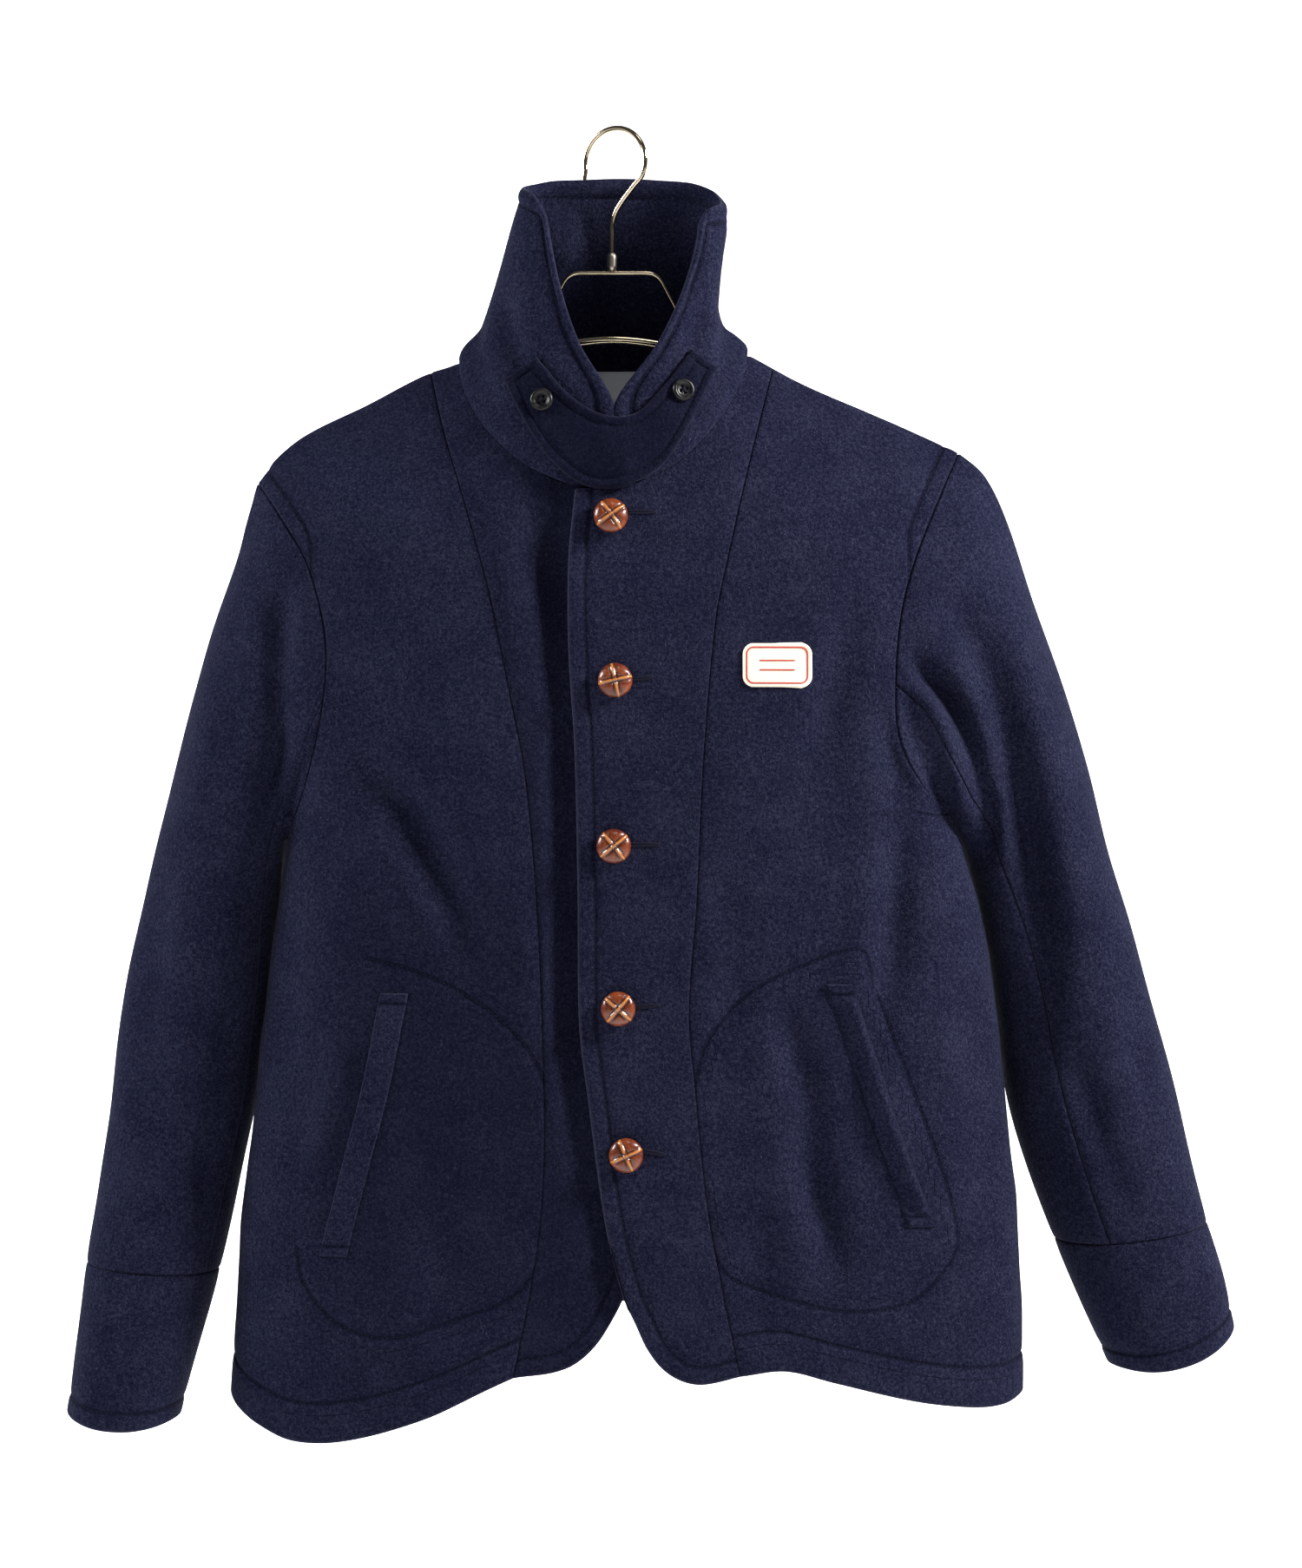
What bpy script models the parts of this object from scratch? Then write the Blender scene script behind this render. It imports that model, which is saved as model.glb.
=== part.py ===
"""Wool work jacket, buttoned, collar turned up, hanging on a metal hanger.

Sizes below are in millimetres; MM turns them into metres when a mesh is made.
+Z is up, the jacket's front faces -Y, and the wearer's left is +X.
The origin is the inside top of the hanger's hook.
"""
import math

import bmesh
import bpy
from mathutils import Vector
from mathutils.bvhtree import BVHTree

MM = 0.001

# cloth
WALL = 2.0                 # melton wall
COLLAR_WALL = 2.6          # collar and tab are two layers pressed flat
PATCH_WALL = 1.2
SEAM_HALF_GAP = 0.2        # each piece stops this far short of its seam
SLEEVE_HALF_GAP = 0.3
ARMPIT_GAP = 1.2           # added at the armpit, where body and sleeve turn sharply
LAY_GAP = 0.5              # between a panel and what is sewn on it
BRIDGE_PASSES = 3
VIEW_Y = -300.0            # in front of everything
SLIT_Y = -60.0             # depth of the collar's front ends
UNDERLAP_DROP = 3.4        # how far the covered front lies behind the top one
UNDERLAP_RAMP = 18.0

# shape of the body tube
SECTION_POWER = 2.6        # 2 is an ellipse, more is squarer
RIDGE_SLOPE = 0.75         # how fast the cloth falls away from the shoulder ridge
RIDGE_RADIUS = 8.0

# grid of the cloth
SIDE_COLUMNS = 6
CENTRE_COLUMNS = 5
NECK_BACK_COLUMNS = 8
COLLAR_ROWS = 6
ARM_SHARES = (0.0, 0.02, 0.10, 0.20, 0.30, 0.40, 0.51, 0.62, 0.74, 0.87, 1.0)
ARM_ROWS = len(ARM_SHARES) - 1
SIDE_ROWS = 9
ROWS = ARM_ROWS + SIDE_ROWS
NECK_ROWS = 6              # from the neck point to the centre front
EDGE_ROW = NECK_ROWS + 1   # the row that meets the corner of the front edge
FRONT_SEAM_COLUMN = 7      # where the under sleeve starts, front and back

# Body sections: z, the two half edges, front and back depth
BODY = [
    # z,     right x, left x, front, back
    (-140.0, -262.0, 266.0, 66.0, 70.0),
    (-210.0, -262.0, 266.0, 70.0, 73.0),
    (-253.0, -260.0, 262.0, 72.0, 75.0),
    (-306.0, -240.0, 246.0, 75.0, 76.0),
    (-371.0, -234.0, 240.0, 77.0, 76.0),
    (-406.0, -220.0, 232.0, 78.0, 76.0),
    (-449.0, -213.0, 225.0, 78.0, 75.0),
    (-465.0, -212.5, 229.0, 78.0, 75.0),
    (-512.0, -219.0, 242.0, 78.0, 74.0),
    (-584.0, -227.0, 253.5, 77.0, 73.0),
    (-655.0, -235.0, 260.5, 76.0, 72.0),
    (-698.0, -241.5, 265.0, 75.0, 72.0),
    (-759.0, -246.0, 268.0, 74.0, 71.0),
    (-830.0, -250.0, 269.0, 72.0, 70.0),
]

# Shoulder ridge, from the wearer's right to the left
RIDGE = [
    # x,     z
    (-275.0, -262.0),
    (-233.0, -231.0),
    (-221.0, -215.0),
    (-201.0, -199.0),
    (-160.0, -179.0),
    (-126.0, -161.0),
    (-100.0, -151.0),
    (-60.0, -131.0),
    (0.0, -119.0),
    (50.0, -128.0),
    (89.0, -146.0),
    (122.0, -164.0),
    (168.0, -184.0),
    (209.0, -202.0),
    (228.0, -211.0),
    (275.0, -240.0),
]

# Armhole seams in the front view, from the shoulder point to the armpit
ARMHOLE_RIGHT = [
    # x,      z
    (-233.0, -231.0),
    (-217.0, -253.0),
    (-197.0, -286.0),
    (-186.0, -322.0),
    (-183.0, -350.0),
    (-187.0, -386.0),
    (-197.0, -426.0),
    (-207.0, -452.0),
    (-212.5, -465.0),
]
ARMHOLE_LEFT = [
    # x,     z
    (228.0, -211.0),
    (215.0, -239.0),
    (197.0, -282.0),
    (187.0, -318.0),
    (183.0, -359.0),
    (185.0, -396.0),
    (200.0, -428.0),
    (217.0, -444.0),
    (225.0, -449.0),
]
BACK_ARMHOLE_BULGE = 0.7   # share of the front armhole's inward bulge

# Princess seams, from the shoulder seam to the hem
PRINCESS_RIGHT = [
    # x,     z
    (-119.0, -157.7),
    (-108.0, -202.0),
    (-94.0, -248.0),
    (-78.0, -304.0),
    (-64.0, -371.0),
    (-54.0, -423.0),
    (-47.0, -500.0),
    (-43.0, -592.0),
    (-42.0, -664.0),
    (-47.0, -727.0),
    (-62.0, -807.0),
]
PRINCESS_LEFT = [
    # x,    z
    (106.0, -155.4),
    (89.0, -222.0),
    (75.0, -283.0),
    (67.0, -323.0),
    (59.0, -413.0),
    (55.0, -500.0),
    (50.0, -574.0),
    (54.0, -625.0),
    (62.0, -700.0),
    (74.0, -765.0),
    (83.0, -806.0),
]

# Neck seam, from the neck point to the centre front
NECK_FRONT_RIGHT = [
    # x,     z
    (-100.0, -151.0),
    (-97.0, -170.0),
    (-84.0, -196.0),
    (-58.0, -222.0),
    (-25.0, -237.0),
    (1.0, -240.0),
]
NECK_FRONT_LEFT = [
    # x,    z
    (89.0, -146.0),
    (85.0, -166.0),
    (70.0, -194.0),
    (46.0, -220.0),
    (22.0, -234.0),
    (3.0, -239.0),
]
NECK_BACK = [
    # x,     z
    (-100.0, -151.0),
    (-86.0, -163.0),
    (-50.0, -174.0),
    (0.0, -177.0),
    (45.0, -171.0),
    (76.0, -158.0),
    (89.0, -146.0),
]

# Front edges, from the top corner down
EDGE_TOP = [               # the wearer's left front, on top
    # x,    z
    (-23.0, -240.0),
    (-27.0, -285.0),
    (-27.0, -342.0),
    (-23.0, -407.0),
    (-21.0, -497.0),
    (-20.0, -583.0),
    (-15.0, -625.0),
    (-3.0, -712.0),
    (8.0, -756.0),
]
EDGE_UNDER = [             # the wearer's right front, underneath
    # x,    z
    (29.0, -240.0),
    (29.0, -480.0),
    (29.0, -640.0),
    (24.0, -712.0),
]

# Hem, from the wearer's right to the left, one table for each stretch
HEM_SIDE_RIGHT = [
    # x,     z
    (-250.0, -826.0),
    (-244.0, -833.0),
    (-230.0, -842.0),
    (-205.0, -851.0),
    (-169.0, -849.0),
    (-119.0, -834.0),
    (-79.0, -815.0),
    (-62.0, -807.0),
]
HEM_CENTRE_RIGHT = [
    # x,    z
    (-62.0, -807.0),
    (-29.0, -801.0),
    (-10.0, -787.0),
    (3.0, -767.0),
    (14.0, -742.0),
    (24.0, -712.0),
]
HEM_CENTRE_LEFT = [
    # x,   z
    (8.0, -756.0),
    (16.0, -773.0),
    (23.0, -788.0),
    (33.0, -801.0),
    (46.0, -809.0),
    (60.0, -811.0),
    (83.0, -806.0),
]
HEM_SIDE_LEFT = [
    # x,    z
    (83.0, -806.0),
    (112.0, -804.0),
    (143.0, -812.0),
    (194.0, -824.0),
    (233.0, -830.0),
    (255.0, -830.0),
    (269.0, -825.0),
]
HEM_BACK = [
    # x,     z
    (-250.0, -826.0),
    (-170.0, -822.0),
    (-80.0, -800.0),
    (5.0, -778.0),
    (90.0, -797.0),
    (180.0, -817.0),
    (269.0, -825.0),
]

# Largest folds of the body's front: soft troughs pressed into the cloth
BODY_FOLDS = [
    # x0,     z0,     x1,     z1,   width, depth
    (-163.0, -412.0, -82.0, -545.0, 26.0, 7.0),
    (172.0, -395.0, 158.0, -560.0, 24.0, 6.0),
    (110.0, -570.0, 142.0, -760.0, 22.0, 5.0),
    (130.0, -310.0, 108.0, -420.0, 20.0, 3.0),
]
FOLD_FADE = 0.35           # share of a fold's length over which each end fades

# Sleeve rings: outer and inner end of each oval, half depth, centre y, bulge
SLEEVE_RIGHT = [
    # out x,  out z,  in x,   in z,  depth, y,   bulge
    (-233.0, -231.0, -212.5, -465.0, 50.0, 0.0, 36.0),
    (-240.8, -256.8, -216.3, -467.5, 51.0, 3.0, 31.0),
    (-247.8, -283.6, -217.0, -474.0, 52.0, 7.0, 25.0),
    (-263.5, -331.5, -218.0, -484.0, 52.0, 12.0, 15.0),
    (-278.1, -379.7, -219.2, -497.0, 53.0, 16.0, 8.0),
    (-291.6, -428.0, -221.0, -514.0, 53.0, 19.0, 3.0),
    (-304.0, -478.5, -223.7, -538.0, 53.0, 21.0, 0.0),
    (-315.2, -531.0, -227.0, -568.0, 52.0, 22.0, 0.0),
    (-324.3, -581.4, -231.0, -604.0, 51.0, 22.0, 0.0),
    (-331.7, -637.9, -236.4, -650.0, 49.0, 19.0, 0.0),
    (-338.7, -691.9, -247.5, -700.0, 46.0, 13.0, 0.0),
    (-344.8, -741.5, -259.0, -747.0, 43.0, 5.0, -1.5),
    (-349.3, -788.8, -270.6, -794.0, 41.0, -2.0, -3.0),
    (-355.3, -838.4, -283.3, -842.0, 40.0, -6.0, -6.0),
]
SLEEVE_LEFT = [
    # out x, out z,  in x,  in z,  depth, y,   bulge
    (228.0, -211.0, 225.0, -449.0, 50.0, 0.0, 42.0),
    (246.3, -227.7, 229.4, -451.5, 51.0, 3.0, 36.0),
    (262.7, -261.5, 231.0, -459.0, 52.0, 7.0, 29.0),
    (281.2, -315.5, 233.4, -470.0, 52.0, 12.0, 17.0),
    (298.8, -367.6, 236.9, -484.0, 53.0, 17.0, 8.0),
    (314.1, -419.9, 241.6, -502.0, 53.0, 20.0, 3.0),
    (327.3, -468.3, 246.5, -526.0, 53.0, 22.0, 0.0),
    (342.6, -516.7, 251.5, -556.0, 52.0, 23.0, 0.0),
    (355.7, -565.1, 256.3, -592.0, 51.0, 23.0, 0.0),
    (369.7, -621.5, 262.0, -636.0, 49.0, 21.0, 0.0),
    (381.7, -673.5, 274.5, -684.0, 46.0, 15.0, 0.0),
    (391.4, -716.1, 291.0, -728.0, 43.0, 8.0, -3.0),
    (401.8, -752.7, 308.6, -770.0, 41.0, 2.0, -6.0),
    (407.3, -783.3, 327.3, -808.0, 39.0, -2.0, -10.0),
]
SLEEVE_POWER = 2.2
CUFF_RING = 11             # the cuff panel starts at this ring
HEAD_BLENDS = (1.0, 0.75, 0.5, 0.2, 0.05)  # how far the first rings keep the armhole's shape
# Front seam of the sleeve: ring, angle from the outer end
SEAM_ANGLES_RIGHT = [(0.0, 108.0), (4.0, 135.0), (7.0, 150.0), (13.0, 150.0)]
SEAM_ANGLES_LEFT = [(0.0, 108.0), (4.0, 125.0), (9.0, 112.0), (13.0, 107.0)]
BACK_SEAM_ANGLE = 118.0

# Collar levels: share of the height, the section's edges, and the front ends
COLLAR = [
    # share, right x, left x, front y, back y, right end, left end
    (0.00, -101.0, 89.0, -61.0, 44.0, 1.0, 3.0),
    (0.15, -88.5, 76.0, -60.0, 42.0, 1.0, 3.0),
    (0.30, -81.5, 71.0, -58.0, 38.0, 0.0, 4.5),
    (0.50, -74.0, 71.5, -55.0, 29.0, -20.0, 29.0),
    (0.70, -67.0, 73.0, -53.0, 19.0, -33.0, 47.0),
    (0.88, -61.0, 74.5, -51.0, 11.0, -40.0, 56.0),
    (1.00, -57.0, 71.0, -50.0, 7.0, -43.0, 57.0),
]
COLLAR_POWER = 2.3
COLLAR_BASE_BLEND = 0.2    # share of the height over which it leaves the neck seam
# Height of the collar's top edge round the neck: 0 is the right front end,
# 1 is the left one
COLLAR_TOP = [
    # share, z
    (0.00, -51.0),
    (0.15, -50.0),
    (0.30, -49.0),
    (0.35, -39.0),
    (0.40, -33.0),
    (0.45, -31.0),
    (0.50, -30.0),
    (0.55, -31.5),
    (0.60, -35.0),
    (0.65, -43.0),
    (0.70, -55.0),
    (0.85, -60.0),
    (1.00, -57.0),
]

# Throat tab, upper and lower edge from the wearer's right to the left
TAB_UPPER = [
    # x,    z
    (-47.0, -155.0),
    (-28.0, -178.0),
    (-11.0, -190.0),
    (4.0, -194.0),
    (18.0, -190.0),
    (36.0, -170.0),
    (51.0, -149.0),
]
TAB_LOWER = [
    # x,    z
    (-69.0, -169.0),
    (-53.0, -200.0),
    (-37.0, -223.0),
    (-14.0, -239.0),
    (10.0, -238.0),
    (37.0, -220.0),
    (68.0, -160.0),
]
TAB_COLUMNS = 16
TAB_ROWS = 4
TAB_LIFT = 0.9

# Pocket welts: centre line of each
WELT_RIGHT = [(-138.0, -562.0), (-150.0, -622.0), (-163.0, -673.0), (-178.0, -731.0)]
WELT_LEFT = [(145.0, -556.0), (161.0, -604.0), (176.0, -650.0), (199.0, -712.0)]
WELT_WIDTH = 18.0
WELT_COLUMNS = 8
WELT_LIFT = 0.9
PATCH_CENTRE = (106.0, -353.0)
PATCH_SIZE = (44.0, 28.0)
PATCH_CORNER = 7.0
LABEL_CENTRE = (3.0, -171.0)
LABEL_SIZE = (62.0, 35.0)
RECTANGLE_GRID = (6, 8)

# Buttons
BUTTON_DOME = [
    # radius, height
    (0.0, 0.0),
    (7.0, 0.0),
    (10.6, 1.3),
    (11.5, 3.0),
    (10.7, 5.2),
    (8.2, 7.2),
    (4.6, 8.2),
    (0.0, 8.5),
]
BUTTONS = [
    # x,   z
    (0.0, -258.0),
    (3.0, -363.0),
    (2.0, -468.0),
    (5.0, -571.0),
    (10.0, -664.0),
]
TAB_BUTTON_RIM = [
    # radius, height
    (0.0, 0.0),
    (5.4, 0.0),
    (7.0, 0.8),
    (7.5, 1.7),
    (7.0, 3.0),
    (5.8, 3.0),
    (4.8, 2.2),
    (0.0, 2.2),
]
TAB_BUTTONS = {"tab_button_right": (-44.0, -183.0), "tab_button_left": (46.0, -176.0)}
HOLE_OFFSET = 1.5          # from the button's middle, both ways
HOLE_RADIUS = 0.8
HOLE_SPAN = (-2.0, 5.0)    # the cutter reaches past both faces
BUTTON_GAP = 0.5

# Hanger
HOOK_WIRE = 1.6            # wire radius
HOOK_TURN = math.radians(25.0)
HOOK_RADIUS = 22.5
HOOK_TAIL = 12.0
HOOK_STEM_TOP = -62.0
HOOK_STEM_FOOT = -80.6
FERRULE_RADIUS = 3.3
FERRULE_SPAN = (-91.4, -81.0)
FRAME_WIRE = 1.3
FRAME_TOP = -93.1
FRAME_HALF_TOP = 27.0
FRAME_LEG = 27.5
FRAME_CORNER = 8.0
FRAME_CENTRE_X = 0.8
BAR_RADIUS = 2.6
BAR_REACH = 196.0
BAR_DROP = 6.9             # bar's centre below the cloth's ridge
BAR_ARCH = [
    # x,    z
    (-99.0, -158.6),
    (-84.0, -153.0),
    (-52.0, -143.5),
    (-21.0, -138.5),
    (3.0, -136.8),
    (29.0, -139.5),
    (60.0, -146.5),
    (78.0, -151.5),
    (90.0, -154.5),
]

COLOURS = {
    # name: (red, green, blue), roughness, metallic
    "melton": ((0.020, 0.024, 0.052), 0.95, 0.0),
    "leather": ((0.13, 0.035, 0.012), 0.32, 0.0),
    "horn": ((0.012, 0.012, 0.014), 0.15, 0.0),
    "label": ((0.75, 0.76, 0.80), 0.8, 0.0),
    "patch": ((0.72, 0.66, 0.52), 0.8, 0.0),
    "hanger": ((0.72, 0.66, 0.55), 0.18, 1.0),
}


# ---------------------------------------------------------------- helpers

def mix(a, b, share):
    return a + (b - a) * share


def smooth_step(value):
    value = min(max(value, 0.0), 1.0)
    return value * value * (3.0 - 2.0 * value)


def table_value(table, column, at):
    """Smooth curve through one column of a table, read at its first column."""
    last = len(table) - 1
    rising = table[last][0] > table[0][0]
    index = 0
    while index < last - 1 and (table[index + 1][0] < at) == rising:
        index += 1
    keys = [row[0] for row in table]
    values = [row[column] for row in table]

    def slope(i):
        low = max(i - 1, 0)
        high = min(i + 1, last)
        return (values[high] - values[low]) / (keys[high] - keys[low])

    span = keys[index + 1] - keys[index]
    share = min(max((at - keys[index]) / span, 0.0), 1.0)
    square, cube = share * share, share ** 3
    return (
        (2 * cube - 3 * square + 1) * values[index]
        + (cube - 2 * square + share) * slope(index) * span
        + (3 * square - 2 * cube) * values[index + 1]
        + (cube - square) * slope(index + 1) * span
    )


class Curve:
    """Smooth curve through points, read by its share of the length."""

    def __init__(self, points):
        self.points = [tuple(point) for point in points]
        lengths = [0.0]
        for start, end in zip(self.points, self.points[1:]):
            lengths.append(lengths[-1] + math.dist(start, end))
        self.tables = [
            [(length / lengths[-1], point[axis]) for length, point in zip(lengths, self.points)]
            for axis in range(len(self.points[0]))
        ]

    def at(self, share):
        return tuple(table_value(table, 1, share) for table in self.tables)

    def share_at_height(self, z):
        low, high = 0.0, 1.0
        for _ in range(30):
            middle = (low + high) / 2
            if self.at(middle)[1] > z:
                low = middle
            else:
                high = middle
        return (low + high) / 2


# ---------------------------------------------------------------- body surface

def ridge_z(x):
    return table_value(RIDGE, 1, x)


def body_edges(z):
    right = table_value(BODY, 1, z)
    left = table_value(BODY, 2, z)
    return right, left, (right + left) / 2


def angle_of(x, z):
    """Where x lies round the section: -90 is the right side, 0 the centre, 90 the left."""
    right, left, centre = body_edges(z)
    half = (left - centre) if x > centre else (centre - right)
    share = min(abs(x - centre) / half, 1.0)
    angle = math.degrees(math.asin(share ** (SECTION_POWER / 2)))
    return angle if x > centre else -angle


def x_of(angle, z):
    right, left, centre = body_edges(z)
    half = (left - centre) if angle > 0 else (right - centre)
    return centre + half * abs(math.sin(math.radians(angle))) ** (2 / SECTION_POWER)


def fold_depth(x, z):
    """Inward push of the largest folds at a point of the front."""
    push = 0.0
    for x0, z0, x1, z1, width, depth in BODY_FOLDS:
        run = Vector((x1 - x0, z1 - z0))
        offset = Vector((x - x0, z - z0))
        along = offset.dot(run) / run.length_squared
        across = abs(offset.x * run.y - offset.y * run.x) / run.length
        if 0.0 < along < 1.0 and across < width:
            ends = smooth_step(along / FOLD_FADE) * smooth_step((1 - along) / FOLD_FADE)
            push += depth * ends * (0.5 + 0.5 * math.cos(math.pi * across / width))
    return push


def body_y(angle, x, z, face):
    """Depth of the body at a point: face -1 is the front, 1 the back."""
    depth = table_value(BODY, 3 if face < 0 else 4, z)
    roundness = abs(math.cos(math.radians(angle))) ** (2 / SECTION_POWER)
    below = max(ridge_z(x) - z, 0.0)
    fall = RIDGE_SLOPE * math.sqrt(below * (below + 2 * RIDGE_RADIUS))
    y = face * roundness * depth * math.tanh(fall / depth)
    if face < 0:
        y += fold_depth(x, z)
    return y


def body_point(x, z, face):
    return Vector((x, body_y(angle_of(x, z), x, z, face), z))


def body_row(start, end, shares, face, level, dips=None):
    """Points between two (x, z) ends. level 0 follows the ridge, 1 runs straight."""
    angles = [angle_of(*start), angle_of(*end)]
    drops = [ridge_z(start[0]) - start[1], ridge_z(end[0]) - end[1]]
    row = []
    for index, share in enumerate(shares):
        if share in (0.0, 1.0):
            x, z = start if share == 0.0 else end
            angle = angles[int(share)]
        else:
            angle = mix(angles[0], angles[1], share)
            z = mix(start[1], end[1], share)
            for _ in range(3):
                x = x_of(angle, z)
                along_ridge = ridge_z(x) - mix(drops[0], drops[1], share)
                z = mix(along_ridge, mix(start[1], end[1], share), level)
        if dips:
            z += dips[index]
            angle = angle_of(x, z)
        row.append(Vector((x, body_y(angle, x, z, face), z)))
    return row


def even_shares(count):
    return [index / count for index in range(count + 1)]


def hem_dips(start, end, shares, table):
    """How far the hem lies below a straight run, at each column."""
    dips = []
    angles = [angle_of(*start), angle_of(*end)]
    for share in shares:
        z = mix(start[1], end[1], share)
        x = x_of(mix(angles[0], angles[1], share), z)
        ends = share in (0.0, 1.0)
        dips.append(0.0 if ends else table_value(table, 1, x) - z)
    return dips


class Half:
    """Seam points of one half of the body, one for each row."""

    def __init__(self, side):
        left = side == "left"
        self.armhole = Curve(ARMHOLE_LEFT if left else ARMHOLE_RIGHT)
        self.princess = Curve(PRINCESS_LEFT if left else PRINCESS_RIGHT)
        neck = Curve(NECK_FRONT_LEFT if left else NECK_FRONT_RIGHT)
        edge = Curve(EDGE_TOP if left else EDGE_UNDER)
        column = 2 if left else 1
        armpit_z = self.armhole.points[-1][1]
        hem_z = (HEM_SIDE_LEFT[-1] if left else HEM_SIDE_RIGHT[0])[1]
        self.side = [self.armhole.at(share) for share in ARM_SHARES]
        for row in range(1, SIDE_ROWS + 1):
            z = mix(armpit_z, hem_z, row / SIDE_ROWS)
            self.side.append((table_value(BODY, column, z), z))
        self.back_side = [self.back_armhole(*point) for point in self.side]
        top_z = self.princess.points[0][1]
        foot_z = self.princess.points[-1][1]
        heights = [mix(top_z, armpit_z, share) for share in ARM_SHARES]
        heights += [mix(armpit_z, foot_z, row / SIDE_ROWS) for row in range(1, SIDE_ROWS + 1)]
        self.seam = [self.princess.at(self.princess.share_at_height(z)) for z in heights]
        self.neck = [neck.at(row / NECK_ROWS) for row in range(NECK_ROWS + 1)]
        for line in (self.side, self.back_side, self.seam, self.neck):
            line[0] = (line[0][0], ridge_z(line[0][0]))
        edge_rows = ROWS - EDGE_ROW
        self.edge = self.neck + [edge.at(row / edge_rows) for row in range(edge_rows + 1)]

    def back_armhole(self, x, z):
        top, foot = self.armhole.points[0], self.armhole.points[-1]
        if z < foot[1]:
            return x, z
        share = (z - top[1]) / (foot[1] - top[1])
        chord = mix(top[0], foot[0], share)
        return chord + (x - chord) * BACK_ARMHOLE_BULGE, z


def row_level(row):
    return smooth_step((row - 1) / (ARM_ROWS - 1))


def dip_weight(row):
    return max(0.0, (row - ARM_ROWS) / SIDE_ROWS) ** 2


def panel_rows(starts, ends, shares, face, hem):
    dips = hem_dips(starts[-1], ends[-1], shares, hem)
    rows = []
    for row, (start, end) in enumerate(zip(starts, ends)):
        weight = dip_weight(row)
        rows.append(body_row(start, end, shares, face, row_level(row), [dip * weight for dip in dips]))
    return rows


def drop_underlap(rows):
    """Push the covered front back, so that the top one lies over it."""
    edge_table = [(z, x) for x, z in EDGE_TOP]
    for row in rows:
        for point in row:
            edge = table_value(edge_table, 1, point.z)
            point.y += UNDERLAP_DROP * smooth_step((point.x - edge + UNDERLAP_RAMP + 2) / UNDERLAP_RAMP)


def back_rows(right, left, fronts):
    """The back: its top row is the two shoulder seams and the back neck seam."""
    neck = Curve(NECK_BACK)
    middle = [body_point(*neck.at(step / NECK_BACK_COLUMNS), 1) for step in range(1, NECK_BACK_COLUMNS)]
    line = fronts["front_side_right"][0] + fronts["front_centre_right"][0][1:] + middle
    line += fronts["front_centre_left"][0] + fronts["front_side_left"][0][1:]
    angles = [angle_of(point.x, point.z) for point in line]
    shares = [(angle - angles[0]) / (angles[-1] - angles[0]) for angle in angles]
    shares[-1] = 1.0
    drops = [ridge_z(point.x) - point.z for point in line]
    dips = hem_dips(right.back_side[-1], left.back_side[-1], shares, HEM_BACK)
    rows = [line]
    for row in range(1, ROWS + 1):
        level, weight = row_level(row), dip_weight(row)
        offsets = [dip * weight - drop * (1 - level) for dip, drop in zip(dips, drops)]
        rows.append(
            body_row(right.back_side[row], left.back_side[row], shares, 1, level, offsets)
        )
    return rows


# ---------------------------------------------------------------- sleeves

def ring_point(ring, angle, back):
    """A point of a sleeve's oval: angle 0 is its outer end, 180 its inner end.

    The bulge moves the middle towards the body at the head, and up at the cuff.
    """
    out_x, out_z, in_x, in_z, depth, centre_y, bulge = ring
    centre = Vector(((out_x + in_x) / 2, centre_y, (out_z + in_z) / 2))
    reach = Vector(((out_x - in_x) / 2, 0.0, (out_z - in_z) / 2))
    side = 1.0 if centre.x < 0 else -1.0
    towards = Vector((reach.z, 0.0, -reach.x)).normalized() * side
    cosine, sine = math.cos(math.radians(angle)), math.sin(math.radians(angle))
    power = 2 / SLEEVE_POWER
    along = math.copysign(abs(cosine) ** power, cosine)
    across = abs(sine) ** power
    shrink = BACK_ARMHOLE_BULGE if back else 1.0
    point = centre + reach * along + towards * bulge * shrink * sine * sine
    point.y += depth * across if back else -depth * across
    return point


def column_angle(column, seam_angle):
    """Angle of a sleeve column, so that the seam's column follows the seam."""
    share = ARM_SHARES[column]
    seam_share = ARM_SHARES[FRONT_SEAM_COLUMN]
    if share <= seam_share:
        return seam_angle * share / seam_share
    return mix(seam_angle, 180.0, (share - seam_share) / (1 - seam_share))


def sleeve_rings(table, seam_table, armhole_front, armhole_back):
    """Rings of points, each from the outer end round the front, then the back."""
    rings = []
    for index, ring in enumerate(table):
        front_angle = table_value(seam_table, 1, float(index))
        ring_points = []
        for back, armhole, seam_angle in (
            (False, armhole_front, front_angle),
            (True, armhole_back, BACK_SEAM_ANGLE),
        ):
            half = []
            for column in range(ARM_ROWS + 1):
                point = ring_point(ring, column_angle(column, seam_angle), back)
                if index == 0:
                    point = armhole[column]
                elif index < len(HEAD_BLENDS):
                    start_angle = seam_table[0][1] if not back else BACK_SEAM_ANGLE
                    start = ring_point(table[0], column_angle(column, start_angle), back)
                    point += (armhole[column] - start) * HEAD_BLENDS[index]
                half.append(point)
            ring_points.append(half)
        front, rear = ring_points
        rings.append(front + rear[-2:0:-1])
    return rings


def ring_slice(rings, first, last, columns):
    return [[rings[ring][column % (2 * ARM_ROWS)] for column in columns] for ring in range(first, last + 1)]


# ---------------------------------------------------------------- collar

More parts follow.
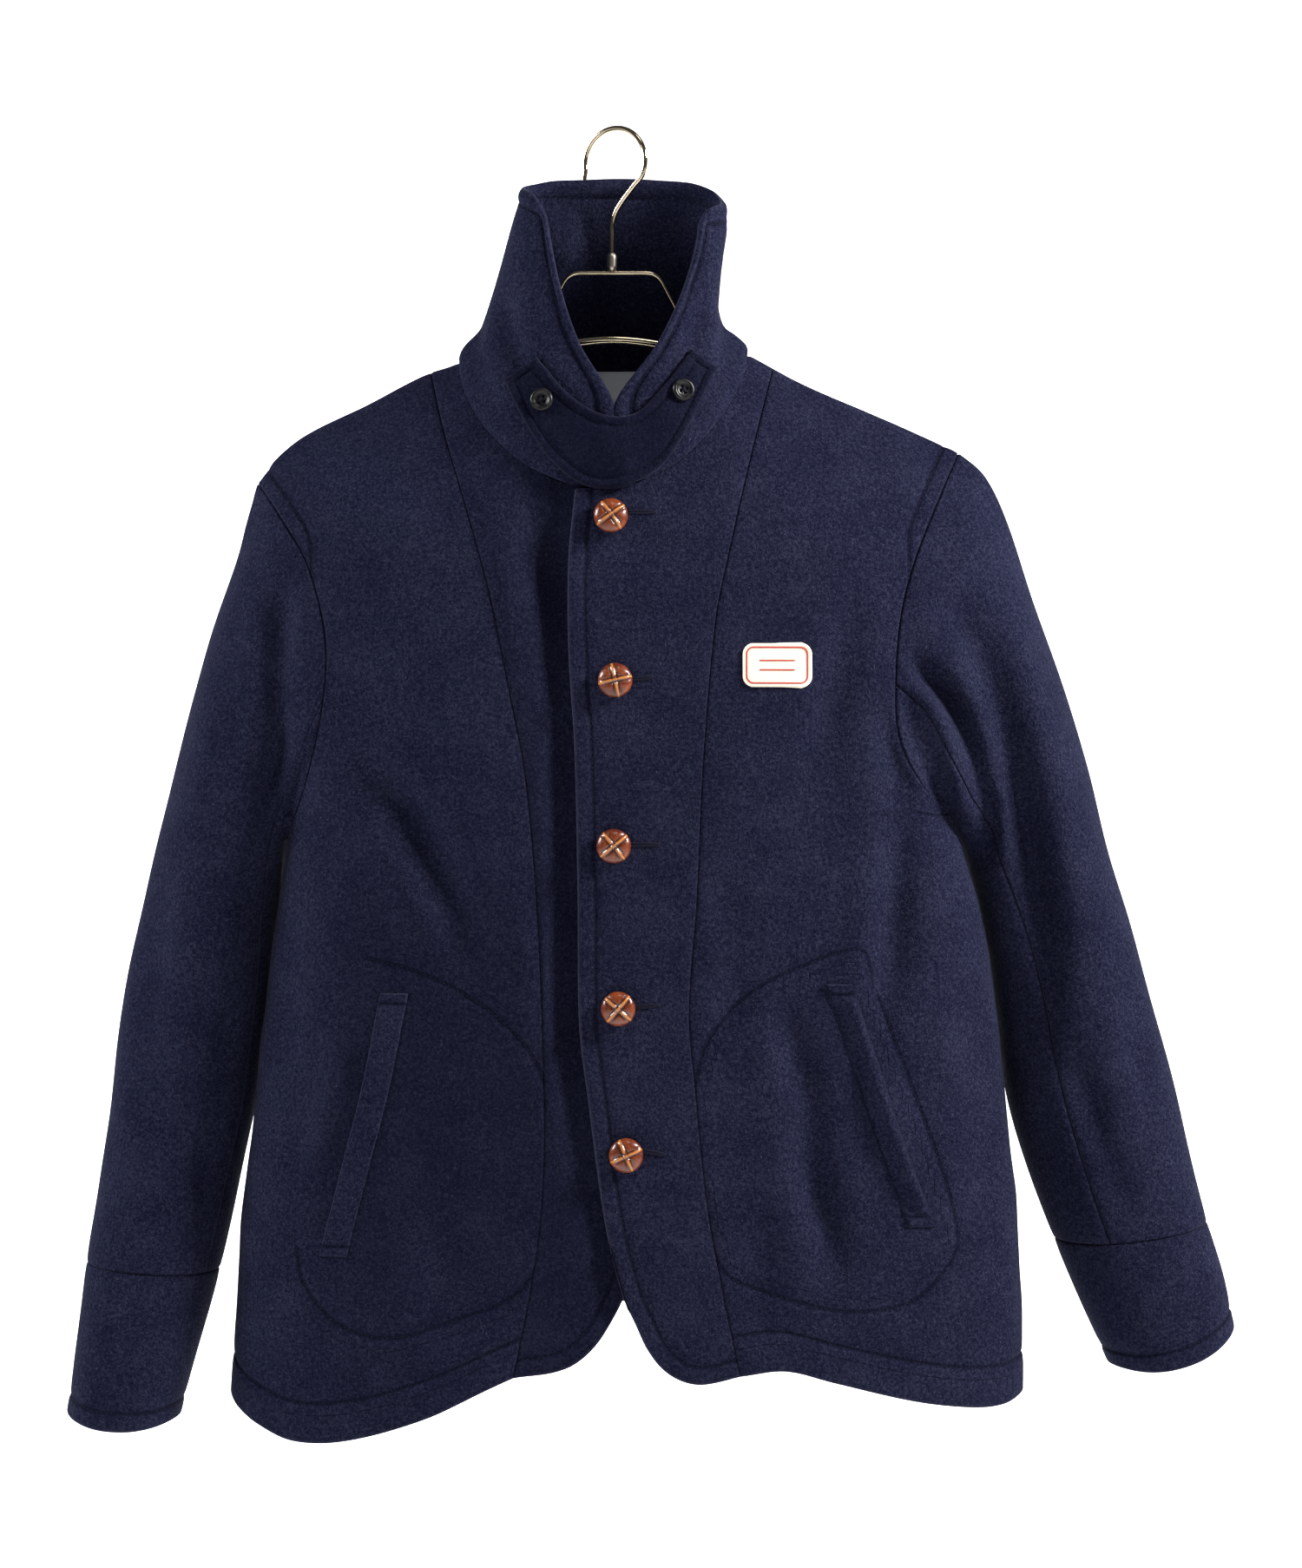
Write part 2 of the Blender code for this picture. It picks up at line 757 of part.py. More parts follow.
def collar_grid(neck_loop):
    """Rows from the neck seam up; columns from the right front end to the left one."""
    columns = len(neck_loop) - 1
    neck_shares = [NECK_ROWS / columns, 1 - NECK_ROWS / columns]
    rows = []
    for row in range(COLLAR_ROWS + 1):
        share = row / COLLAR_ROWS
        right, left, front, back, end_right, end_left = (
            table_value(COLLAR, column, share) for column in range(1, 7)
        )
        centre_x, centre_y = (right + left) / 2, (front + back) / 2
        half_x, half_y = (left - right) / 2, (back - front) / 2
        start = front_angle(end_right, centre_x, half_x)
        end = front_angle(end_left, centre_x, half_x)
        blend = smooth_step(share / COLLAR_BASE_BLEND)
        points = []
        for column, base in enumerate(neck_loop):
            place = column / columns
            if place < neck_shares[0]:
                angle = mix(start, -95.0, place / neck_shares[0])
            elif place > neck_shares[1]:
                angle = mix(95.0, end, (place - neck_shares[1]) / neck_shares[0])
            else:
                turn = (place - neck_shares[0]) / (neck_shares[1] - neck_shares[0])
                angle = mix(-95.0, -265.0, turn)
            sine, cosine = math.sin(math.radians(angle)), math.cos(math.radians(angle))
            power = 2 / COLLAR_POWER
            x = centre_x + half_x * math.copysign(abs(sine) ** power, sine)
            y = centre_y - half_y * math.copysign(abs(cosine) ** power, cosine)
            z = mix(base.z, table_value(COLLAR_TOP, 1, place), share)
            points.append(Vector((mix(base.x, x, blend), mix(base.y, y, blend), z)))
        rows.append(points)
    return rows


def front_angle(x, centre, half):
    share = (x - centre) / half
    return math.copysign(math.degrees(math.asin(abs(share) ** (COLLAR_POWER / 2))), share)


# ---------------------------------------------------------------- cloth solids

def point_key(point):
    return tuple(round(value, 3) for value in point)


def shared_normals(grids):
    """One outward normal for each point, shared where pieces meet at a seam."""
    normals = {}
    for grid in grids:
        for low, high in zip(grid, grid[1:]):
            for column in range(len(low) - 1):
                corners = (low[column], low[column + 1], high[column + 1], high[column])
                normal = (corners[2] - corners[0]).cross(corners[3] - corners[1])
                for corner in corners:
                    key = point_key(corner)
                    normals[key] = normals.get(key, Vector()) + normal
    return {key: normal.normalized() for key, normal in normals.items()}


def grid_normals(grid, normals):
    return [[normals[point_key(point)] for point in row] for row in grid]


def turn_armpit_normals(normals, sleeve_normals):
    """Turn the top row's normals to the sleeve's own, fully at the armpit."""
    middle = (len(normals[0]) - 1) / 2
    for column, own in enumerate(sleeve_normals[0]):
        share = 1 - abs(column - middle) / middle
        normals[0][column] = normals[0][column].lerp(own, smooth_step(2 * share)).normalized()


def inset(grid, seams, wrap, gap, top_extra):
    """Pull the edges named in seams back by the seam gap, along the cloth.

    top_extra is added in the middle of the top edge, and fades to its ends.
    """
    rows, columns = len(grid), len(grid[0])
    moved = [[point.copy() for point in row] for row in grid]
    middle = (columns - 1) / 2

    def pull(row, column, inner_row, inner_column, next_row, next_column, extra=0.0):
        tangent = (grid[next_row][next_column] - grid[row][column]).normalized()
        inward = grid[inner_row][inner_column] - grid[row][column]
        inward -= tangent * inward.dot(tangent)
        if inward.length > 1e-6:
            moved[row][column] += inward.normalized() * (gap + extra)

    for column in range(columns):
        beside = column + 1 if column < columns - 1 else column - 1
        if "top" in seams:
            extra = top_extra * (1 - abs(column - middle) / middle)
            pull(0, column, 1, column, 0, beside, extra)
        if "foot" in seams:
            pull(rows - 1, column, rows - 2, column, rows - 1, beside)
    if not wrap:
        for row in range(rows):
            beside = row + 1 if row < rows - 1 else row - 1
            if "start" in seams:
                pull(row, 0, row, 1, beside, 0)
            if "end" in seams:
                pull(row, columns - 1, row, columns - 2, beside, columns - 1)
    return moved


def cloth_solid(name, grid, normals, finish, wall=WALL, seams=(), wrap=False, lift=0.0,
                gap=SEAM_HALF_GAP, top_extra=0.0):
    """A closed wall: the grid is its outer face, and the inner one lies behind it."""
    outer = inset(grid, seams, wrap, gap, top_extra)
    inner = [
        [point - normal * (wall - lift) for point, normal in zip(row, normal_row)]
        for row, normal_row in zip(outer, normals)
    ]
    outer = [
        [point + normal * lift for point, normal in zip(row, normal_row)]
        for row, normal_row in zip(outer, normals)
    ]
    rows, columns = len(grid), len(grid[0])
    vertices = [point * MM for layer in (outer, inner) for row in layer for point in row]
    faces = []

    def place(layer, row, column):
        return layer * rows * columns + row * columns + column % columns

    spans = columns if wrap else columns - 1
    for row in range(rows - 1):
        for column in range(spans):
            quad = [(row, column), (row, column + 1), (row + 1, column + 1), (row + 1, column)]
            faces.append([place(0, *corner) for corner in quad])
            faces.append([place(1, *corner) for corner in reversed(quad)])
    for column in range(spans):
        for row, ahead, behind in ((0, column, column + 1), (rows - 1, column + 1, column)):
            faces.append([place(0, row, behind), place(0, row, ahead),
                          place(1, row, ahead), place(1, row, behind)])
    if not wrap:
        for row in range(rows - 1):
            for column, ahead, behind in ((0, row + 1, row), (columns - 1, row, row + 1)):
                faces.append([place(0, behind, column), place(0, ahead, column),
                              place(1, ahead, column), place(1, behind, column)])
    return mesh_object(name, vertices, faces, finish)


def mesh_object(name, vertices, faces, finish):
    mesh = bpy.data.meshes.new(name)
    mesh.from_pydata(vertices, [], faces)
    build = bmesh.new()
    build.from_mesh(mesh)
    bmesh.ops.triangulate(build, faces=build.faces[:])
    bmesh.ops.recalc_face_normals(build, faces=build.faces[:])
    build.to_mesh(mesh)
    build.free()
    return add_object(name, mesh, finish)


def add_object(name, mesh, finish):
    piece = bpy.data.objects.new(name, mesh)
    piece.data.materials.append(material(name, finish))
    bpy.context.collection.objects.link(piece)
    return piece


def material(name, finish):
    colour, roughness, metallic = COLOURS[finish]
    made = bpy.data.materials.new(name)
    made.use_nodes = True
    shader = made.node_tree.nodes["Principled BSDF"]
    shader.inputs["Base Color"].default_value = (*colour, 1.0)
    shader.inputs["Roughness"].default_value = roughness
    shader.inputs["Metallic"].default_value = metallic
    return made


def surface_tree(grids):
    """Search tree over the cloth's outer faces."""
    vertices, faces = [], []
    for grid in grids:
        for low, high in zip(grid, grid[1:]):
            for column in range(len(low) - 1):
                first = len(vertices)
                vertices += [low[column], low[column + 1], high[column + 1], high[column]]
                faces += [(first, first + 1, first + 2), (first, first + 2, first + 3)]
    return BVHTree.FromPolygons(vertices, faces)


def lay_on(tree, x, z, inside=False):
    """The nearest cloth seen from the front, or from within the collar."""
    start = Vector((x, 0.0 if inside else VIEW_Y, z))
    hit, normal, _, _ = tree.ray_cast(start, Vector((0, 1, 0)))
    if hit is None:                       # over a slit: take the cloth beside it
        hit, normal, _, _ = tree.find_nearest(Vector((x, SLIT_Y, z)))
    if normal.y > 0:
        normal.negate()
    return hit, normal


def laid_grid(tree, outline, inside=False):
    """Points of a sewn-on piece, laid on the cloth behind it."""
    grid = [[lay_on(tree, x, z, inside)[0] for x, z in row] for row in outline]
    if inside:                            # hangs straight down past the neck seam
        for column in range(len(grid[0])):
            y = min(row[column].y for row in grid)
            for row in grid:
                row[column].y = y
        return grid
    for _ in range(BRIDGE_PASSES):
        bridge(grid)
    return grid


def bridge(grid):
    """Lift hollows to the mean of the points beside them, as stiff cloth does."""
    rows, columns = len(grid), len(grid[0])
    before = [[point.y for point in row] for row in grid]
    for row in range(rows):
        for column in range(columns):
            pairs = []
            if 0 < row < rows - 1:
                pairs.append((before[row - 1][column] + before[row + 1][column]) / 2)
            if 0 < column < columns - 1:
                pairs.append((before[row][column - 1] + before[row][column + 1]) / 2)
            grid[row][column].y = min([before[row][column]] + pairs)


def own_normals(grid):
    normals = shared_normals([grid])
    return [
        [normals[point_key(point)] if normals[point_key(point)].y < 0 else -normals[point_key(point)]
         for point in row]
        for row in grid
    ]


# ---------------------------------------------------------------- round pieces

def turned(name, profile, centre, axis, finish, segments=20):
    """A profile of (radius, height) pairs turned round an axis."""
    spin = Vector((0, 0, 1)).rotation_difference(Vector(axis).normalized())
    vertices, faces = [], []
    rings = []
    for radius, height in profile:
        if radius < 1e-6:
            rings.append([len(vertices)])
            vertices.append((Vector(centre) + spin @ Vector((0, 0, height))) * MM)
            continue
        ring = []
        for index in range(segments):
            angle = 2 * math.pi * index / segments
            offset = Vector((radius * math.cos(angle), radius * math.sin(angle), height))
            ring.append(len(vertices))
            vertices.append((Vector(centre) + spin @ offset) * MM)
        rings.append(ring)
    for low, high in zip(rings, rings[1:]):
        for index in range(segments):
            corners = [low[index % len(low)], low[(index + 1) % len(low)],
                       high[(index + 1) % len(high)], high[index % len(high)]]
            faces.append(list(dict.fromkeys(corners)))
    piece = mesh_object(name, vertices, faces, finish)
    piece.data.shade_smooth()
    return piece


def tube(name, path, radius, finish, sides=8):
    """A round bar with filled ends along a smooth path of points."""
    curve = bpy.data.curves.new(name, "CURVE")
    curve.dimensions = "3D"
    curve.bevel_depth = radius * MM
    curve.bevel_resolution = sides // 2 - 2
    curve.use_fill_caps = True
    spline = curve.splines.new("POLY")
    spline.points.add(len(path) - 1)
    for point, place in zip(spline.points, path):
        point.co = (*[value * MM for value in place], 1.0)
    return add_object(name, curve, finish)


def arc(centre, radius, start, end, steps):
    """Points of an arc in a plane, angles in degrees."""
    return [
        (centre[0] + radius * math.cos(math.radians(mix(start, end, step / steps))),
         centre[1] + radius * math.sin(math.radians(mix(start, end, step / steps))))
        for step in range(steps + 1)
    ]


# ---------------------------------------------------------------- pieces

def make_body_and_sleeves():
    right, left = Half("right"), Half("left")
    shares = even_shares(SIDE_COLUMNS)
    centre_shares = even_shares(CENTRE_COLUMNS)
    grids = {
        "front_side_right": panel_rows(right.side, right.seam, shares, -1, HEM_SIDE_RIGHT),
        "front_side_left": panel_rows(left.seam, left.side, [1 - s for s in shares[::-1]], -1,
                                      HEM_SIDE_LEFT),
        "front_centre_right": panel_rows(right.seam, right.edge, centre_shares, -1,
                                         HEM_CENTRE_RIGHT),
        "front_centre_left": panel_rows(left.edge, left.seam, centre_shares, -1,
                                        HEM_CENTRE_LEFT),
    }
    grids["back"] = back_rows(right, left, grids)
    drop_underlap(grids["front_centre_right"])
    rings = {}
    for side, half, table, seams in (
        ("right", right, SLEEVE_RIGHT, SEAM_ANGLES_RIGHT),
        ("left", left, SLEEVE_LEFT, SEAM_ANGLES_LEFT),
    ):
        front = grids[f"front_side_{side}"]
        front_edge = [row[0 if side == "right" else -1] for row in front[:ARM_ROWS + 1]]
        back_edge = [row[0 if side == "right" else -1] for row in grids["back"][:ARM_ROWS + 1]]
        rings[side] = sleeve_rings(table, seams, front_edge, back_edge)
        upper = range(-FRONT_SEAM_COLUMN, FRONT_SEAM_COLUMN + 1)
        under = range(FRONT_SEAM_COLUMN, 2 * ARM_ROWS - FRONT_SEAM_COLUMN + 1)
        around = range(0, 2 * ARM_ROWS + 1)
        last = len(table) - 1
        for piece, columns, first, final in (
            (f"sleeve_upper_{side}", upper, 0, CUFF_RING),
            (f"sleeve_under_{side}", under, 0, CUFF_RING),
            (f"cuff_{side}", around, CUFF_RING, last),
        ):
            columns = list(columns)
            if side == "right":
                columns.reverse()
            grids[piece] = ring_slice(rings[side], first, final, columns)
    neck_loop = [row[-1] for row in grids["front_centre_right"][NECK_ROWS::-1]]
    back_top = grids["back"][0]
    skip = SIDE_COLUMNS + CENTRE_COLUMNS
    neck_loop += back_top[skip + 1:-skip - 1]
    neck_loop += [row[0] for row in grids["front_centre_left"][:NECK_ROWS + 1]]
    grids["collar"] = collar_grid(neck_loop)
    return grids


def orient(grids):
    """Flip the rows of a grid whose outward side faces in."""
    for name, grid in grids.items():
        middle_row = grid[len(grid) // 2]
        middle = len(middle_row) // 2
        corner = middle_row[middle]
        normal = (middle_row[middle + 1] - corner).cross(grid[len(grid) // 2 + 1][middle] - corner)
        if name.startswith(("sleeve", "cuff")):
            opposite = "sleeve_under" if "upper" in name else "sleeve_upper"
            twin = grids.get(name.replace("sleeve_upper", opposite).replace("sleeve_under", opposite))
            if name.startswith("cuff"):
                centre = sum(middle_row[:-1], Vector()) / (len(middle_row) - 1)
            else:
                centre = sum(middle_row + twin[len(grid) // 2], Vector()) / (2 * len(middle_row))
            outward = corner - centre
        else:
            outward = Vector((corner.x * 0.3, corner.y, 0.0))
        if normal.dot(outward) < 0:
            grids[name] = [row[::-1] for row in grid]


def make_cloth():
    grids = make_body_and_sleeves()
    orient(grids)
    normals = shared_normals(grids.values())
    for name, grid in grids.items():
        wall = COLLAR_WALL if name == "collar" else WALL
        wrap = name.startswith("cuff")
        seams = {"top", "start", "end"}
        if name.startswith("sleeve"):
            seams.add("foot")
        if name == "collar":
            seams = {"top"}
        own = grid_normals(grid, normals)
        if wrap:
            grid = [row[:-1] for row in grid]
            own = [row[:-1] for row in own]
        gap = SLEEVE_HALF_GAP if name.startswith("sleeve") else SEAM_HALF_GAP
        top_extra = 0.0
        if name.startswith("sleeve_under"):
            top_extra = ARMPIT_GAP
            twin = grids[name.replace("under", "upper")]
            turn_armpit_normals(own, grid_normals(grid, shared_normals([grid, twin])))
        cloth_solid(name, grid, own, "melton", wall, seams, wrap, gap=gap, top_extra=top_extra)
    return grids


def make_laid_pieces(grids):
    tree = surface_tree([
        grids[name] for name in grids if name.startswith("front") or name == "collar"
    ])
    upper, lower = Curve(TAB_UPPER), Curve(TAB_LOWER)
    outline = []
    for row in range(TAB_ROWS + 1):
        line = []
        for column in range(TAB_COLUMNS + 1):
            top = Vector(upper.at(column / TAB_COLUMNS))
            foot = Vector(lower.at(column / TAB_COLUMNS))
            line.append(top.lerp(foot, row / TAB_ROWS))
        outline.append(line)
    tab = laid_grid(tree, outline)
    cloth_solid("throat_tab", tab, own_normals(tab), "melton", COLLAR_WALL,
                lift=COLLAR_WALL + TAB_LIFT)
    for side, table in (("right", WELT_RIGHT), ("left", WELT_LEFT)):
        line = Curve(table)
        half = WELT_WIDTH / 2
        outline = [
            [(line.at(step / WELT_COLUMNS)[0] + offset, line.at(step / WELT_COLUMNS)[1])
             for offset in (-half, 0.0, half)]
            for step in range(WELT_COLUMNS + 1)
        ]
        welt = laid_grid(tree, outline)
        cloth_solid(f"pocket_welt_{side}", welt, own_normals(welt), "melton", WALL,
                    lift=WALL + WELT_LIFT)
    lay_rectangle("chest_patch", tree, PATCH_CENTRE, PATCH_SIZE, "patch", False, PATCH_CORNER)
    normals = shared_normals([grids["collar"], grids["back"]])
    inner_tree = surface_tree([
        [[point - normals[point_key(point)] * COLLAR_WALL for point in row] for row in grids[name]]
        for name in ("collar", "back")
    ])
    lay_rectangle("neck_label", inner_tree, LABEL_CENTRE, LABEL_SIZE, "label", True)
    return tree


def lay_rectangle(name, tree, centre, size, finish, inside, corner=0.0):
    """A flat piece with round corners of the radius given."""
    columns, rows = RECTANGLE_GRID
    straight = size[1] / 2 - corner
    outline = []
    for row in range(rows + 1):
        drop = size[1] * (row / rows - 0.5)
        beyond = max(abs(drop) - straight, 0.0)
        half = size[0] / 2 - corner + math.sqrt(corner ** 2 - beyond ** 2)
        outline.append([
            (centre[0] + half * (2 * column / columns - 1), centre[1] - drop)
            for column in range(columns + 1)
        ])
    grid = laid_grid(tree, outline, inside)
    cloth_solid(name, grid, own_normals(grid), finish, PATCH_WALL, lift=PATCH_WALL + LAY_GAP)


def make_buttons(tree):
    for index, (x, z) in enumerate(BUTTONS):
        hit, normal = lay_on(tree, x, z)
        turned(f"button_{index + 1}", BUTTON_DOME, hit + normal * BUTTON_GAP, normal, "leather")
    for name, (x, z) in TAB_BUTTONS.items():
        hit, normal = lay_on(tree, x, z)
        base = hit + normal * (TAB_LIFT + COLLAR_WALL + BUTTON_GAP)
        button = turned(name, TAB_BUTTON_RIM, base, normal, "horn")
        spin = Vector((0, 0, 1)).rotation_difference(normal)
        for index in range(4):
            angle = math.pi / 4 + math.pi / 2 * index
            offset = Vector((math.cos(angle), math.sin(angle), 0.0)) * HOLE_OFFSET * math.sqrt(2)
            cut_hole(button, base + spin @ offset, normal)


def cut_hole(button, centre, axis):
    foot, head = HOLE_SPAN
    profile = [(0.0, foot), (HOLE_RADIUS, foot), (HOLE_RADIUS, head), (0.0, head)]
    cutter = turned(f"{button.name}_cutter", profile, centre, axis, "horn", 8)
    cutter.hide_render = True
    cutter.display_type = "WIRE"
    cut = button.modifiers.new("hole", "BOOLEAN")
    cut.operation = "DIFFERENCE"
    cut.object = cutter


def make_hanger():
    centre = (2.2, HOOK_WIRE - HOOK_RADIUS)
    stem = [(0.0, HOOK_STEM_FOOT), (0.0, -70.0), (0.0, HOOK_STEM_TOP), (2.5, -54.0),
            (9.0, -45.0), (16.5, -37.0)]
    loop = arc(centre, HOOK_RADIUS, -28.0, 190.0, 18)
    tail = [(loop[-1][0] - 0.8, loop[-1][1] - HOOK_TAIL * share) for share in (0.5, 1.0)]
    line = Curve(stem + loop + tail)
    steps = 44
    path = []
    for step in range(steps + 1):
        along, z = line.at(step / steps)
        path.append((along * math.cos(HOOK_TURN), -along * math.sin(HOOK_TURN), z))
    tube("hanger_hook", path, HOOK_WIRE, "hanger")
    foot, head = FERRULE_SPAN
    turned("hanger_ferrule", [(0.0, foot), (FERRULE_RADIUS, foot), (FERRULE_RADIUS, head),
                              (0.0, head)], (0, 0, 0), (0, 0, 1), "hanger", 16)
    make_bar()
    make_frame()


def bar_z(x):
    if BAR_ARCH[0][0] <= x <= BAR_ARCH[-1][0]:
        return table_value(BAR_ARCH, 1, x)
    return ridge_z(x) - BAR_DROP


def make_bar():
    steps = 40
    path = [(x, 0.0, bar_z(x)) for x in
            (mix(-BAR_REACH, BAR_REACH, step / steps) for step in range(steps + 1))]
    tube("hanger_bar", path, BAR_RADIUS, "hanger")


def make_frame():
    """A bent wire: flat on top, round corners, two legs down to the bar."""
    path = []
    for side in (-1, 1):
        leg_x = FRAME_HALF_TOP + FRAME_LEG
        foot_z = bar_z(FRAME_CENTRE_X + side * leg_x) + BAR_RADIUS + FRAME_WIRE + 0.1
        foot = Vector((leg_x, foot_z))
        corner = Vector((FRAME_HALF_TOP + 2.0, FRAME_TOP))
        along = (foot - corner).normalized()
        bend_start = corner - Vector((FRAME_CORNER, 0.0))
        bend_end = corner + along * FRAME_CORNER
        half = [foot, foot.lerp(bend_end, 0.5)]
        for step in range(5):
            share = step / 4
            half.append(bend_end.lerp(corner, share).lerp(corner.lerp(bend_start, share), share))
        places = [(FRAME_CENTRE_X + side * point.x, 0.0, point.y) for point in half]
        path = places if side < 0 else path + places[::-1]
    tube("hanger_frame", path, FRAME_WIRE, "hanger")


def main():
    for piece in list(bpy.data.objects):
        bpy.data.objects.remove(piece)
    grids = make_cloth()
    tree = make_laid_pieces(grids)
    make_buttons(tree)
    make_hanger()


main()
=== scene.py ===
import math

import bpy
import numpy as np
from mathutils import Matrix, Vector
from mathutils.bvhtree import BVHTree


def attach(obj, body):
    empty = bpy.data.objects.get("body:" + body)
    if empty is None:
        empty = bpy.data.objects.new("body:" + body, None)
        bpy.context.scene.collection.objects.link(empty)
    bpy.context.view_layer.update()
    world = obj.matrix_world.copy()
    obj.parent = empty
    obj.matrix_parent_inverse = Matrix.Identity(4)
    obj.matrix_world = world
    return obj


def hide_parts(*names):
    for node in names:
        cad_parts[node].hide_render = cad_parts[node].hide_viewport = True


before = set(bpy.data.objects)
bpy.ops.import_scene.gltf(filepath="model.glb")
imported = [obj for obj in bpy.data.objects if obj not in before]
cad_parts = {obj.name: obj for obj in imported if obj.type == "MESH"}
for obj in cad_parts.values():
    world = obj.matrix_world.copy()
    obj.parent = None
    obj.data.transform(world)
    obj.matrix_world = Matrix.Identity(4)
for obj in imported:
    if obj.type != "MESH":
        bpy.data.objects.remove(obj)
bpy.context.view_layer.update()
print("frame loaded")

# Lengths are in millimetres, and become metres when a mesh is made; the finishes, the stage, the lights
# and the camera are in metres.
mm = 0.001

# The jacket's cut, as in the CAD: x runs to the wearer's left, z up

body = {
    "sections": [  # z, right x, left x, front depth, back depth
        (-140, -262, 266, 66, 70), (-210, -262, 266, 70, 73), (-253, -260, 262, 72, 75),
        (-306, -240, 246, 75, 76), (-371, -234, 240, 77, 76), (-406, -220, 232, 78, 76),
        (-449, -213, 225, 78, 75), (-465, -212.5, 229, 78, 75), (-512, -219, 242, 78, 74),
        (-584, -227, 253.5, 77, 73), (-655, -235, 260.5, 76, 72), (-698, -241.5, 265, 75, 72),
        (-759, -246, 268, 74, 71), (-830, -250, 269, 72, 70)],
    "ridge": [  # the shoulder line: x, z
        (-275, -262), (-233, -231), (-221, -215), (-201, -199), (-160, -179), (-126, -161),
        (-100, -151), (-60, -131), (0, -119), (50, -128), (89, -146), (122, -164), (168, -184),
        (209, -202), (228, -211), (275, -240)],
    "power": 2.6,
    "ridgeSlope": 0.75,
    "ridgeRadius": 8,
    "underlapDrop": 4.2,
    "underlapRamp": 18,
}
seams = {
    "armholeRight": [(-233, -231), (-217, -253), (-197, -286), (-186, -322), (-183, -350),
                     (-187, -386), (-197, -426), (-207, -452), (-212.5, -465)],
    "armholeLeft": [(228, -211), (215, -239), (197, -282), (187, -318), (183, -359),
                    (185, -396), (200, -428), (217, -444), (225, -449)],
    "princessRight": [(-119, -157.7), (-108, -202), (-94, -248), (-78, -304), (-64, -371),
                      (-54, -423), (-47, -500), (-43, -592), (-42, -664), (-47, -727), (-62, -807)],
    "princessLeft": [(106, -155.4), (89, -222), (75, -283), (67, -323), (59, -413), (55, -500),
                     (50, -574), (54, -625), (62, -700), (74, -765), (83, -806)],
    "neckRight": [(-100, -151), (-97, -170), (-84, -196), (-58, -222), (-25, -237), (1, -240)],
    "neckLeft": [(89, -146), (85, -166), (70, -194), (46, -220), (22, -234), (3, -239)],
    "neckBack": [(-100, -151), (-86, -163), (-50, -174), (0, -177), (45, -171), (76, -158), (89, -146)],
    "edgeLeft": [(-23, -240), (-27, -285), (-27, -342), (-23, -407), (-21, -497), (-20, -583),
                 (-15, -625), (-3, -712), (8, -756)],
    "edgeRight": [(29, -240), (29, -480), (29, -640), (24, -712)],
    "hemSideRight": [(-250, -826), (-244, -833), (-230, -842), (-205, -851), (-169, -849),
                     (-119, -834), (-79, -815), (-62, -807)],
    "hemCentreRight": [(-62, -807), (-29, -801), (-10, -787), (3, -767), (14, -742), (24, -712)],
    "hemCentreLeft": [(8, -756), (16, -773), (23, -788), (33, -801), (46, -809), (60, -811), (83, -806)],
    "hemSideLeft": [(83, -806), (112, -803), (143, -811), (194, -824), (233, -830), (255, -830),
                    (269, -825)],
    "hemBack": [(-250, -826), (-170, -822), (-80, -800), (5, -778), (90, -797), (180, -817), (269, -825)],
    "armShares": [0, 0.02, 0.10, 0.20, 0.30, 0.40, 0.51, 0.62, 0.74, 0.87, 1],
    "sleeveSeamShare": 0.62,
    "backArmholeBulge": 0.7,
}

# What makes the cloth look sewn: wall, turned edges, seams and stitch lines
cloth = {
    "wall": 2.2,
    "turnedWall": 3.4,      # where an edge is turned under
    "turnedLift": 0.6,
    "seamRadius": 2.2,
    "seamDepth": 1.5,
    "edgeRadius": 2.0,
    "edgeDrop": 2.0,
    "edgeStitch": 11.0,
    "hemStitch": 26.0,
    "armholeStitch": 11.0,
    "armholeStitchEnd": -300.0,
    "armholeFade": 42.0,
    "frontTop": -238.0,     # the front edges start below the collar
    "cuffStitch": 12.0,
    "collarStitch": 13.0,
    "stitchReach": 8.0,     # marks go no further than this from a stitch line
    "edgeReach": 30.0,      # nor than this from an edge
    "sharpAngle": 48,
}
armRows, sideRows = 10, 9
lastRow = armRows + sideRows
neckRow, edgeRow, footRow = 6, 7, 17.8      # the neck's last row, the front edge's first, the hem's first
rayStart = 400                              # clear of the jacket, in front and behind


# Sums used for every panel

def readTable(table, column, at):
    # a smooth curve through one column of a table, read at its first column
    table = sorted(table, key=lambda row: row[0])
    keys = np.array([row[0] for row in table], float)
    values = np.array([row[column] for row in table], float)
    order = np.arange(len(keys))
    low, high = np.maximum(order - 1, 0), np.minimum(order + 1, len(keys) - 1)
    slopes = (values[high] - values[low]) / (keys[high] - keys[low])
    at = np.asarray(at, float)
    place = np.clip(np.searchsorted(keys, at, side="right") - 1, 0, len(keys) - 2)
    span = keys[place + 1] - keys[place]
    share = np.clip((at - keys[place]) / span, 0, 1)
    square, cube = share ** 2, share ** 3
    return ((2 * cube - 3 * square + 1) * values[place] + (cube - 2 * square + share) * slopes[place] * span
            + (3 * square - 2 * cube) * values[place + 1] + (cube - square) * slopes[place + 1] * span)


def alongCurve(points, shares):
    points = np.array(points, float)
    run = np.concatenate([[0], np.cumsum(np.linalg.norm(np.diff(points, axis=0), axis=1))])
    run /= run[-1]
    return np.stack([readTable(list(zip(run, points[:, axis])), 1, shares)
                     for axis in range(points.shape[1])], -1)


def smoothStep(value):
    value = np.clip(value, 0, 1)
    return value * value * (3 - 2 * value)


def mixed(a, b, share):
    return a + (b - a) * share


def unit(vectors):
    return vectors / np.linalg.norm(vectors, axis=-1, keepdims=True)


def ridgeZ(x):
    return readTable(body["ridge"], 1, x)


def bodyEdges(z):
    right, left = readTable(body["sections"], 1, z), readTable(body["sections"], 2, z)
    return right, left, (right + left) / 2


